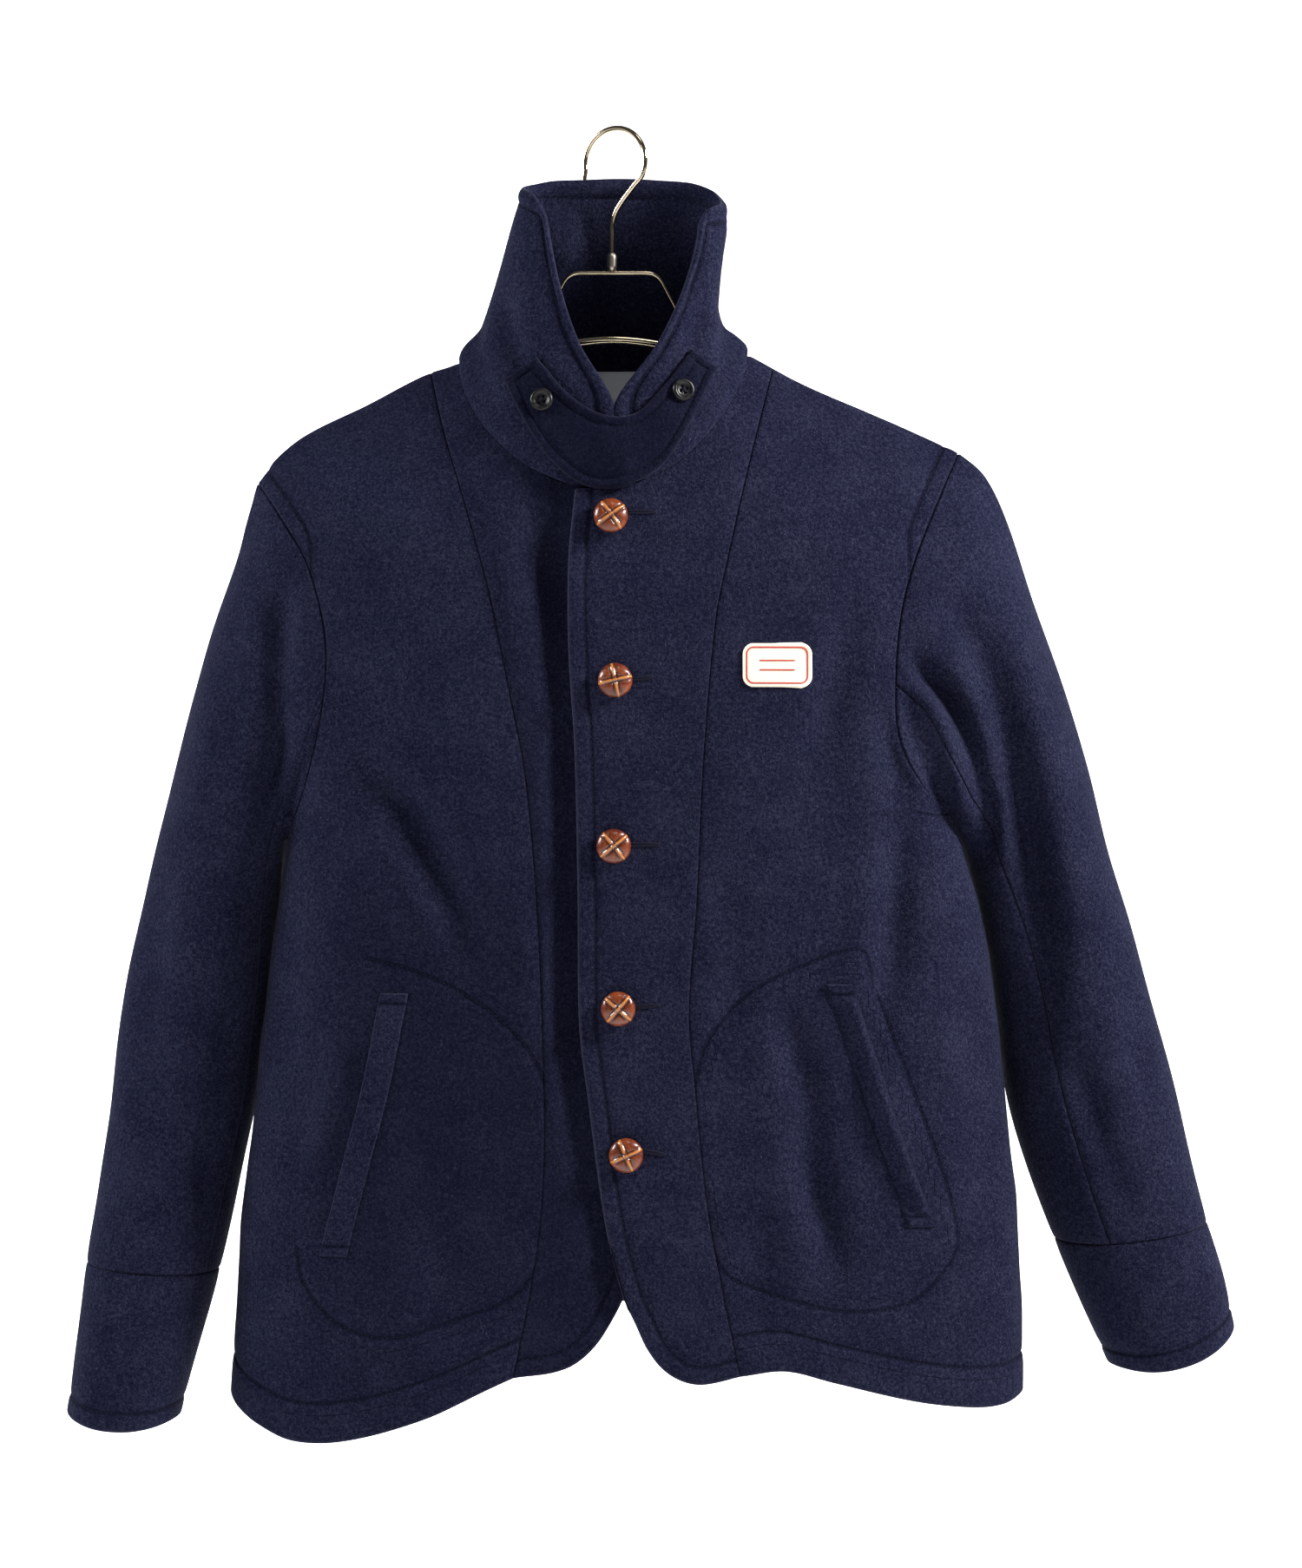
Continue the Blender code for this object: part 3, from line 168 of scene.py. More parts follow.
def angleOf(x, z):
    right, left, centre = bodyEdges(z)
    half = np.where(x > centre, left - centre, centre - right)
    share = np.minimum(np.abs(x - centre) / half, 1)
    return np.sign(x - centre) * np.degrees(np.arcsin(share ** (body["power"] / 2)))


def xOf(angle, z):
    right, left, centre = bodyEdges(z)
    half = np.where(angle > 0, left - centre, right - centre)
    return centre + half * np.abs(np.sin(np.radians(angle))) ** (2 / body["power"])


def bodyPoints(x, z, face):
    # face -1 is the front, 1 the back
    depth = readTable(body["sections"], 3 if face < 0 else 4, z)
    roundness = np.abs(np.cos(np.radians(angleOf(x, z)))) ** (2 / body["power"])
    below = np.maximum(ridgeZ(x) - z, 0)
    fall = body["ridgeSlope"] * np.sqrt(below * (below + 2 * body["ridgeRadius"]))
    return np.stack([x, face * roundness * depth * np.tanh(fall / depth), z], -1)


def armShare(row):
    # rows down to armRows share out the armhole; the rest run on to the hem
    return np.interp(row, np.arange(armRows + 1), seams["armShares"])


def rowLevel(row):
    # 0 on the row that follows the shoulder, 1 on rows that run straight across
    return smoothStep((row - 1) / (armRows - 1))


def dipWeight(row):
    # how much of the hem's curve a row takes
    return np.maximum(0, (row - armRows) / sideRows) ** 2


def bodyGrid(starts, ends, shares, face, rows, offsets):
    # rows of points between two seams; high rows follow the shoulder, low ones run straight
    x0, z0, x1, z1 = starts[:, :1], starts[:, 1:], ends[:, :1], ends[:, 1:]
    angle = mixed(angleOf(x0, z0), angleOf(x1, z1), shares)
    straight = mixed(z0, z1, shares)
    drops = mixed(ridgeZ(x0) - z0, ridgeZ(x1) - z1, shares)
    level = rowLevel(rows)[:, None]
    z = straight + 0.0
    for _ in range(3):
        x = xOf(angle, z)
        z = mixed(ridgeZ(x) - drops, straight, level)
    x[:, 0], x[:, -1], z[:, 0], z[:, -1] = x0[:, 0], x1[:, 0], z0[:, 0], z1[:, 0]
    return bodyPoints(x, z + offsets, face)


def hemDips(start, end, shares, hem):
    # how far the hem's curve lies off the straight line between its ends
    z = mixed(start[1], end[1], shares)
    x = xOf(mixed(angleOf(*start), angleOf(*end), shares), z)
    dips = readTable(hem, 1, x) - z
    dips[0] = dips[-1] = 0
    return dips


def runLengths(grid, axis):
    steps = np.linalg.norm(np.diff(grid, axis=axis), axis=-1)
    return np.concatenate([np.zeros_like(np.take(steps, [0], axis)), np.cumsum(steps, axis)], axis)


def respaced(grid, startMarks, endMarks, count):
    # the same rows, with columns at set distances from both ends and even between them
    made = []
    run = runLengths(grid, 1)
    for line, lengths in zip(grid, run):
        total = lengths[-1]
        squeeze = min(1, 0.9 * total / (startMarks[-1] + endMarks[-1]))
        start, end = np.array(startMarks) * squeeze, total - np.array(endMarks)[::-1] * squeeze
        middle = np.linspace(start[-1], end[0], count + 2)[1:-1]
        places = np.concatenate([start, middle, end])
        made.append(np.stack([np.interp(places, lengths, line[:, axis]) for axis in range(3)], -1))
    return np.array(made)


def gridNormals(grid, wrap=False):
    if wrap:
        across = np.roll(grid, -1, 1) - np.roll(grid, 1, 1)
    else:
        across = np.gradient(grid, axis=1)
    down = np.gradient(grid, axis=0)
    normal = np.cross(across, down)
    size = np.linalg.norm(normal, axis=-1, keepdims=True)
    bad = size[..., 0] < 1e-9
    normal = normal / np.maximum(size, 1e-9)
    if bad.any():
        normal[bad] = normal[~bad].mean(0)
    return normal


def facingNormals(grid, face):
    # face -1 looks to the front, 1 to the back
    normal = gridNormals(grid)
    return -normal if normal[..., 1].mean() * face < 0 else normal


def roundOff(distance, radius, depth):
    # a rounded drop at an edge
    inside = np.clip(1 - distance / radius, 0, 1)
    return -depth * (1 - np.sqrt(1 - inside ** 2))


def edgeRound(distance):
    return roundOff(distance, cloth["edgeRadius"], cloth["edgeDrop"])


def bell(distance, width):
    return np.exp(-(distance / width) ** 2)


def stitchSink(distance):
    # a stitch line pulls a sharp groove and a wide, shallow one into the cloth
    return -0.75 * bell(distance, 1.2) - 0.45 * bell(distance, 4.5)


def lineDistance(x, z, line):
    # distance in the front view to a line of points, negative on its left side, and the share along it
    line = np.array(line, float)
    starts, ends = line[:-1], line[1:]
    best, signed, along = np.full(x.shape, np.inf), np.zeros(x.shape), np.zeros(x.shape)
    lengths = np.linalg.norm(ends - starts, axis=1)
    run = np.concatenate([[0], np.cumsum(lengths)])
    for index, (a, b) in enumerate(zip(starts, ends)):
        d = b - a
        t = np.clip(((x - a[0]) * d[0] + (z - a[1]) * d[1]) / max(d @ d, 1e-9), 0, 1)
        offX, offZ = x - a[0] - t * d[0], z - a[1] - t * d[1]
        gap = np.hypot(offX, offZ)
        side = np.where(d[0] * (z - a[1]) - d[1] * (x - a[0]) > 0, -1.0, 1.0)
        near = gap < best
        best = np.where(near, gap, best)
        signed = np.where(near, gap * side, signed)
        along = np.where(near, (run[index] + t * lengths[index]) / run[-1], along)
    return signed, along


def nearestLine(lines):
    stack = np.stack(lines)
    return np.take_along_axis(stack, np.abs(stack).argmin(0)[None], 0)[0]


def stitchMark(distance):
    return np.clip(distance, -cloth["stitchReach"], cloth["stitchReach"])


def foldPush(x, z, folds):
    # soft troughs and ridges: points, width, depth; a trough is negative
    push = np.zeros_like(x)
    for points, width, depth in folds:
        gap, along = lineDistance(x, z, alongCurve(points, np.linspace(0, 1, 16)))
        ends = np.sqrt(smoothStep(along / 0.3) * smoothStep((1 - along) / 0.35))   # fades at both ends
        wobble = 1 + 0.25 * np.sin(along * 9 + points[0][0])
        shape = bell(gap, width) - 0.3 * bell(gap - 1.9 * width, width)            # swells a little beside
        push += depth * ends * wobble * shape
    return push


def clothWave(points, seed, size=0.7):
    # the slight unevenness of hanging wool
    chance = np.random.default_rng(seed)
    push = np.zeros(points.shape[:-1])
    waves = (190, 120, 80, 55, 38)
    for length in waves:
        for _ in range(2):
            way = chance.normal(size=3)
            way[1] *= 0.3
            way *= 2 * math.pi / length / np.linalg.norm(way)
            push += size * (length / waves[0]) ** 0.9 * np.sin(points @ way + chance.uniform(0, 6.3))
    return push * 0.5


# Making meshes

def addMesh(name, points, faces, marks=None):
    mesh = bpy.data.meshes.new(name)
    mesh.from_pydata([tuple(p) for p in np.asarray(points) * mm], [], faces)
    for label, values in (marks or {}).items():
        mesh.attributes.new(label, "FLOAT", "POINT").data.foreach_set("value", np.asarray(values, "f"))
    mesh.validate()
    mesh.shade_smooth()
    piece = bpy.data.objects.new(name, mesh)
    bpy.context.collection.objects.link(piece)
    return piece


def settle(piece, finish, slotName, *nodes):
    piece.data.materials.clear()
    piece.data.materials.append(finish)
    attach(piece, "root")
    if nodes:
        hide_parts(*nodes)


def wallMesh(name, outer, inner, marks, wrap=False):
    rows, columns = outer.shape[:2]
    numbers = np.arange(rows * columns).reshape(rows, columns)
    if wrap:
        numbers = np.concatenate([numbers, numbers[:, :1]], 1)
    low, high = numbers[:-1], numbers[1:]
    front = np.stack([low[:, :-1], high[:, :-1], high[:, 1:], low[:, 1:]], -1).reshape(-1, 4)
    back = front[:, ::-1] + rows * columns
    rims = [(numbers[0], False), (numbers[-1], True)]
    if not wrap:
        rims += [(numbers[:, 0], True), (numbers[:, -1], False)]
    faces = [front, back]
    for line, flip in rims:
        quad = np.stack([line[:-1], line[1:], line[1:] + rows * columns, line[:-1] + rows * columns], -1)
        faces.append(quad[:, ::-1] if flip else quad)
    faces = np.concatenate(faces)
    points = np.concatenate([outer.reshape(-1, 3), inner.reshape(-1, 3)])
    full = {}
    for label, values in marks.items():
        hidden = values if label == "shade" else np.full(values.shape, cloth["edgeReach"])
        full[label] = np.concatenate([values.ravel(), hidden.ravel()])
    piece = addMesh(name, points, faces.tolist(), full)
    piece.data.set_sharp_from_angle(angle=math.radians(cloth["sharpAngle"]))
    return piece


def makeCloth(name, base, normal, push, wall, marks, wrap=False):
    # one sewn panel: an outer and an inner face, closed round its edges
    turned = (np.cross(np.gradient(base, axis=1), np.gradient(base, axis=0)) * normal).sum() >= 0
    outer = base + normal * push[..., None]
    inner = base - normal * wall[..., None]
    if turned:
        outer, inner = outer[::-1], inner[::-1]
        marks = {label: values[::-1] for label, values in marks.items()}
    piece = wallMesh(name + "_cloth", outer, inner, marks, wrap)
    settle(piece, finishes["melton"], "melton", name)
    width, length = runLengths(base, 1)[:, -1].max() * mm, runLengths(base, 0)[-1].max() * mm
    cells = np.cross(base[1:, 1:] - base[:-1, :-1], base[1:, :-1] - base[:-1, 1:])
    area = float(np.linalg.norm(cells, axis=-1).sum() / 2 * mm * mm)
    if wrap:
        closing = np.cross(base[1:, 0] - base[:-1, -1], base[1:, -1] - base[:-1, 0])
        area += float(np.linalg.norm(closing, axis=-1).sum() / 2 * mm * mm)
        width += float(np.linalg.norm(base[:, 0] - base[:, -1], axis=-1).max()) * mm
    width = min(max(width, area / length * 1.02), area / length * 2.5)
    round(width * 1000)
    round(length * 1000)
    return piece


def treeOf(piece):
    mesh = piece.data
    points, faces = [v.co / mm for v in mesh.vertices], [tuple(f.vertices) for f in mesh.polygons]
    return BVHTree.FromPolygons(points, faces)


def castFrom(trees, x, z, fromBack=False):
    # the first cloth met from the front, or from the back
    side = 1 if fromBack else -1
    start, way = Vector((x, side * rayStart, z)), Vector((0, -side, 0))
    best = None
    for tree in trees:
        hit, normal, _, gap = tree.ray_cast(start, way)
        if hit is not None and (best is None or gap < best[2]):
            best = (hit, normal, gap)
    return best


# Finishes

class Sum:
    # a shader value; plain Python maths on it adds Math nodes
    def __init__(self, tree, socket):
        self.tree, self.socket = tree, socket

    def math(self, operation, other=None, swapped=False):
        node = self.tree.nodes.new("ShaderNodeMath")
        node.operation = operation
        for place, item in zip(node.inputs, (other, self) if swapped else (self, other)):
            if isinstance(item, Sum):
                self.tree.links.new(item.socket, place)
            elif item is not None:
                place.default_value = item
        return Sum(self.tree, node.outputs[0])

    def __add__(self, other): return self.math("ADD", other)
    def __radd__(self, other): return self.math("ADD", other)
    def __sub__(self, other): return self.math("SUBTRACT", other)
    def __rsub__(self, other): return self.math("SUBTRACT", other, True)
    def __mul__(self, other): return self.math("MULTIPLY", other)
    def __rmul__(self, other): return self.math("MULTIPLY", other)


class Finish:
    def __init__(self, name, constants):
        self.material = bpy.data.materials.new(name)
        self.material.use_nodes = True
        self.tree = self.material.node_tree
        self.shader = self.tree.nodes["Principled BSDF"]
        for socket, value in constants.items():
            self.shader.inputs[socket].default_value = value
        self.place = self.node("ShaderNodeTexCoord", {}, {}).outputs["Object"]

    def node(self, kind, settings, values):
        made = self.tree.nodes.new(kind)
        for key, value in settings.items():
            setattr(made, key, value)
        for key, value in values.items():
            self.join(value, made.inputs[key])
        return made

    def join(self, value, socket):
        if isinstance(value, Sum):
            value = value.socket
        if isinstance(value, bpy.types.NodeSocket):
            self.tree.links.new(value, socket)
        else:
            socket.default_value = value

    def noise(self, scale, detail=2.0, stretch=None, roughness=0.5):
        place = self.place
        if stretch:
            place = self.node("ShaderNodeMapping", {}, {"Vector": place, "Scale": stretch}).outputs[0]
        made = self.node("ShaderNodeTexNoise", {}, {"Vector": place, "Scale": scale, "Detail": detail,
                                                   "Roughness": roughness})
        return Sum(self.tree, made.outputs[0])

    def mark(self, label):
        made = self.node("ShaderNodeAttribute", {"attribute_name": label}, {})
        return Sum(self.tree, made.outputs["Fac"])

    def range(self, value, low, high, toLow=0.0, toHigh=1.0):
        made = self.node("ShaderNodeMapRange", {"clamp": True}, {
            "Value": value, "From Min": low, "From Max": high, "To Min": toLow, "To Max": toHigh})
        return Sum(self.tree, made.outputs[0])

    def blend(self, share, first, second):
        made = self.node("ShaderNodeMix", {"data_type": "RGBA"}, {0: share, 6: first, 7: second})
        return made.outputs[2]

    def bump(self, height, distance, strength=1.0):
        made = self.node("ShaderNodeBump", {}, {"Height": height, "Distance": distance, "Strength": strength})
        self.join(made.outputs[0], self.shader.inputs["Normal"])

    def colour(self, value):
        self.join(value, self.shader.inputs["Base Color"])


melton = {
    "dark": (0.0034, 0.0038, 0.0125, 1),
    "middle": (0.0103, 0.0112, 0.0266, 1),
    "light": (0.023, 0.0245, 0.047, 1),
    "fleck": (0.080, 0.082, 0.115, 1),
    # the colour of painted shade: in the sunk stitch grooves and seams, and where the shade mark asks for it
    "paintedShade": (0.0022, 0.0025, 0.0075, 1),
    "edgeNap": (0.034, 0.034, 0.056, 1),
    "grain": 1000.0,
    "clump": 470.0,
    "cloud": 30.0,
    "hair": 900.0,
    "napDepth": 0.0009,
}


def meltonFinish():
    made = Finish("melton", {"Roughness": 1.0, "Specular IOR Level": 0.02, "Sheen Weight": 0.08,
                             "Sheen Roughness": 0.28, "Sheen Tint": (0.55, 0.58, 0.78, 1)})
    grain = made.noise(melton["grain"], 3.0, roughness=0.65)
    clump = made.noise(melton["clump"], 2.5, roughness=0.6)
    cloud = made.noise(melton["cloud"], 2.0)
    hairs = made.noise(melton["hair"], 2.0, (1.0, 1.0, 0.4), 0.7)
    tone = grain * 0.5 + clump * 0.38 + cloud * 0.12
    base = made.blend(made.range(tone, 0.37, 0.53), melton["dark"], melton["middle"])
    base = made.blend(made.range(tone, 0.50, 0.64), base, melton["light"])
    base = made.blend(made.range(hairs * 0.6 + grain * 0.4, 0.62, 0.74, 0.0, 0.7), base, melton["fleck"])
    base = made.blend(made.range(made.mark("edge"), 0.0, 2.2, 0.5, 0.0), base, melton["edgeNap"])
    line = made.mark("stitch").math("ABSOLUTE")
    # painted shade in the sunk stitch grooves and along the seams
    base = made.blend(made.range(line, 0.3, 2.2, 0.62, 0.0), base, melton["paintedShade"])
    # painted shade, as much as the shade mark asks: under the placket, by the wearer's right pocket and over
    # the throat tab
    base = made.blend(made.mark("shade"), base, melton["paintedShade"])
    made.colour(base)
    groove = made.range(line, 0.2, 1.6)
    height = grain * 0.55 + clump * 0.8 + hairs * 0.5 + groove * 0.5
    made.bump(height, melton["napDepth"], 0.85)
    return made.material


def threadFinish():
    made = Finish("thread", {"Roughness": 0.7, "Specular IOR Level": 0.1})
    twist = made.noise(1500.0, 1.0)
    made.colour(made.blend(made.range(twist, 0.3, 0.7), (0.0035, 0.004, 0.011, 1), (0.008, 0.0085, 0.020, 1)))
    made.bump(twist, 0.0002, 0.6)
    return made.material


leather = {
    "dark": (0.060, 0.0085, 0.003, 1),
    "brown": (0.175, 0.034, 0.007, 1),
    "strap": (0.46, 0.175, 0.034, 1),
    "groove": (0.018, 0.006, 0.003, 1),
}


def leatherFinish():
    made = Finish("leather", {"Roughness": 0.3, "Coat Weight": 0.35, "Coat Roughness": 0.08,
                              "Specular IOR Level": 0.3})
    grain = made.noise(700.0, 3.0)
    patches = made.noise(130.0, 2.0)
    base = made.blend(made.range(patches * 0.7 + grain * 0.3, 0.35, 0.65), leather["dark"], leather["brown"])
    raised = made.mark("raised")
    base = made.blend(made.range(raised, 0.35, 0.85, 0.0, 0.85), base, leather["strap"])
    # painted shade in the creases beside the straps
    base = made.blend(made.range(made.mark("groove"), 0.2, 1.0, 0.0, 0.9), base, leather["groove"])
    made.colour(base)
    made.join(made.range(grain, 0.3, 0.7, 0.22, 0.42), made.shader.inputs["Roughness"])
    made.bump(grain * 0.6 + patches * 0.4, 0.0005, 0.5)
    return made.material


def hornFinish():
    made = Finish("horn", {"Roughness": 0.3, "Specular IOR Level": 0.22})
    streak = made.noise(180.0, 3.0, (1.0, 1.0, 3.0))
    made.colour(made.blend(made.range(streak, 0.45, 0.7), (0.004, 0.004, 0.005, 1), (0.014, 0.013, 0.013, 1)))
    made.join(made.range(streak, 0.3, 0.7, 0.26, 0.38), made.shader.inputs["Roughness"])
    made.bump(streak, 0.0001, 0.15)
    return made.material


def metalFinish(name, colour, smooth, rough, wear):
    made = Finish(name, {"Metallic": 1.0})
    haze = made.noise(90.0, 3.0)
    fine = made.noise(1400.0, 1.0)
    darker = tuple(value * wear for value in colour)
    made.colour(made.blend(made.range(haze, 0.35, 0.7), (*colour, 1), (*darker, 1)))
    made.join(made.range(haze * 0.5 + fine * 0.5, 0.3, 0.7, smooth, rough), made.shader.inputs["Roughness"])
    made.bump(fine, 0.0001, 0.2)
    return made.material


def tapeFinish(name, first, second, pitch):
    made = Finish(name, {"Roughness": 0.8, "Sheen Weight": 0.15})
    parts = made.node("ShaderNodeSeparateXYZ", {}, {0: made.place}).outputs
    across, up = Sum(made.tree, parts[0]), Sum(made.tree, parts[2])
    weave = (across * pitch).math("SINE") * (up * pitch).math("SINE")
    fuzz = made.noise(900.0, 2.0)
    made.colour(made.blend(made.range(weave * 0.3 + fuzz, 0.3, 0.8), first, second))
    made.bump(weave * 0.5 + fuzz * 0.5, 0.0003, 0.6)
    return made.material


def plainFinish(name, colour, rough, glow):
    made = Finish(name, {"Roughness": rough, "Emission Color": (1, 1, 1, 1), "Emission Strength": glow})
    made.colour(made.blend(made.noise(3.0, 1.0), colour, tuple(value * 0.98 for value in colour[:3]) + (1,)))
    return made.material


finishes = {
    "melton": meltonFinish(),
    "thread": threadFinish(),
    "leather": leatherFinish(),
    "horn": hornFinish(),
    "chrome": metalFinish("paleGoldChrome", (0.56, 0.47, 0.33), 0.05, 0.12, 0.75),
    "satin": metalFinish("satinFerrule", (0.60, 0.55, 0.46), 0.26, 0.38, 0.85),
    "label": tapeFinish("labelTape", (0.90, 0.92, 0.98, 1), (0.96, 0.97, 1.0, 1), 9000.0),
    "patch": tapeFinish("patchCloth", (0.78, 0.68, 0.52, 1), (0.93, 0.86, 0.72, 1), 6500.0),
    "redThread": tapeFinish("redThread", (0.42, 0.022, 0.022, 1), (0.60, 0.05, 0.045, 1), 9000.0),
}
print("finishes made")


# Body panels

def rowNumbers():
    # row places shared by every panel: even along the armhole, then even to the hem
    shares = np.unique(np.concatenate([np.linspace(0, 1, 97), [0.0016, 0.004, 0.0075],
                                       [armShare(neckRow), armShare(edgeRow)]]))
    high = np.interp(shares, seams["armShares"], np.arange(armRows + 1))
    low = np.linspace(armRows, footRow, 118)[1:]
    foot = np.linspace(footRow, lastRow, 60)[1:]
    return high, low, foot


highRows, lowRows, footRows = rowNumbers()
rowPlaces = np.concatenate([highRows, lowRows, footRows])
seamMarks = [0, 0.4, 0.9, 1.5, 2.3, 3.6]
edgeMarks = [0, 0.25, 0.7, 1.3, 2.1, 3.4, 5.4, 7.6, 9.2, 10.2, 11, 11.8, 12.8, 14.5]
hemMarks = [0, 0.25, 0.7, 1.3, 2.1, 3.5, 6, 8.4, 10, 11, 12, 13.8, 16.6, 19.4, 22.2, 24.2, 25.2, 26, 26.8,
            27.8, 29.6, 32]


def halfSeams(side):
    # the lines that bound one half's panels, a point for each row
    title = side.capitalize()
    row = rowPlaces
    share = armShare(row)
    hole = alongCurve(seams["armhole" + title], share)
    pit = seams["armhole" + title][-1]
    hem = seams["hemSideLeft"][-1] if side == "left" else seams["hemSideRight"][0]
    below = np.clip((row - armRows) / sideRows, 0, 1)
    z = mixed(pit[1], hem[1], below)
    sideX = readTable(body["sections"], 2 if side == "left" else 1, z)
    isArm = (row <= armRows)[:, None]
    sideLine = np.where(isArm, hole, np.stack([sideX, z], -1))
    top = seams["armhole" + title][0]
    chord = mixed(top[0], pit[0], (hole[:, 1] - top[1]) / (pit[1] - top[1]))
    backX = chord + (hole[:, 0] - chord) * seams["backArmholeBulge"]
    backLine = np.where(isArm, np.stack([backX, hole[:, 1]], -1), sideLine)
    princess = alongCurve(seams["princess" + title], np.linspace(0, 1, 400))
    topZ, footZ = princess[0, 1], princess[-1, 1]
    height = np.where(row <= armRows, mixed(topZ, pit[1], share), mixed(pit[1], footZ, below))
    seamLine = np.stack([np.interp(-height, -princess[:, 1], princess[:, 0]), height], -1)
    neck = alongCurve(seams["neck" + title], np.clip(row / neckRow, 0, 1))
    edge = alongCurve(seams["edge" + title], np.clip((row - edgeRow) / (lastRow - edgeRow), 0, 1))
    bridge = mixed(neck, edge, np.clip(row - neckRow, 0, 1)[:, None])
    edgeLine = np.where((row <= neckRow)[:, None], neck, np.where((row >= edgeRow)[:, None], edge, bridge))
    lines = {"side": sideLine, "back": backLine, "seam": seamLine, "edge": edgeLine}
    for line in lines.values():
        line[:, 1] = np.minimum(line[:, 1], ridgeZ(line[:, 0]))
    for label in lines:
        lines[label][0, 1] = ridgeZ(lines[label][0, 0])
    return lines


def footRespaced(grid):
    # from footRow down the rows keep set distances from the hem, so that its stitches lie along a row
    cut = len(highRows) + len(lowRows)
    low = grid[cut - 1:].transpose(1, 0, 2)
    low = respaced(low, [0, 2.5], hemMarks, 4).transpose(1, 0, 2)
    return np.concatenate([grid[:cut - 1], low])


def panel(starts, ends, face, hem, startMarks, endMarks, count, extra=None):
    # one body panel between two seams, before its folds and its wall
    shares = np.linspace(0, 1, 181)
    offsets = dipWeight(rowPlaces)[:, None] * hemDips(starts[-1], ends[-1], shares, hem)
    if extra is not None:
        offsets = offsets + extra(shares)
    grid = bodyGrid(starts, ends, shares, face, rowPlaces, offsets)
    return footRespaced(respaced(grid, startMarks, endMarks, count))


half = {side: halfSeams(side) for side in ("right", "left")}
backNeck = alongCurve(seams["neckBack"], np.linspace(0, 1, 200))


def backDrop(shares):
    # how far the back's rows hang below the shoulder line, under the neck
    ends = [angleOf(*half[side]["back"][0]) for side in ("right", "left")]
    angle = mixed(ends[0], ends[1], shares)
    x = xOf(angle, np.full_like(angle, -170.0))
    inNeck = (x > backNeck[0, 0]) & (x < backNeck[-1, 0])
    drop = np.where(inNeck, ridgeZ(x) - np.interp(x, backNeck[:, 0], backNeck[:, 1]), 0)
    return -drop * (1 - rowLevel(rowPlaces))[:, None]


base = {
    "front_side_right": panel(half["right"]["side"], half["right"]["seam"], -1, seams["hemSideRight"],
                              seamMarks, seamMarks, 66),
    "front_side_left": panel(half["left"]["seam"], half["left"]["side"], -1, seams["hemSideLeft"],
                             seamMarks, seamMarks, 66),
    "front_centre_right": panel(half["right"]["seam"], half["right"]["edge"], -1, seams["hemCentreRight"],
                                seamMarks, edgeMarks, 28),
    "front_centre_left": panel(half["left"]["edge"], half["left"]["seam"], -1, seams["hemCentreLeft"],
                               edgeMarks, seamMarks, 38),
    "back": panel(half["right"]["back"], half["left"]["back"], 1, seams["hemBack"], seamMarks, seamMarks,
                  118, backDrop),
}
under = base["front_centre_right"]
overEdge = readTable([(z, x) for x, z in seams["edgeLeft"]], 1, under[..., 2])
ramp = body["underlapRamp"]
under[..., 1] += body["underlapDrop"] * smoothStep((under[..., 0] - overEdge + ramp + 4) / ramp)

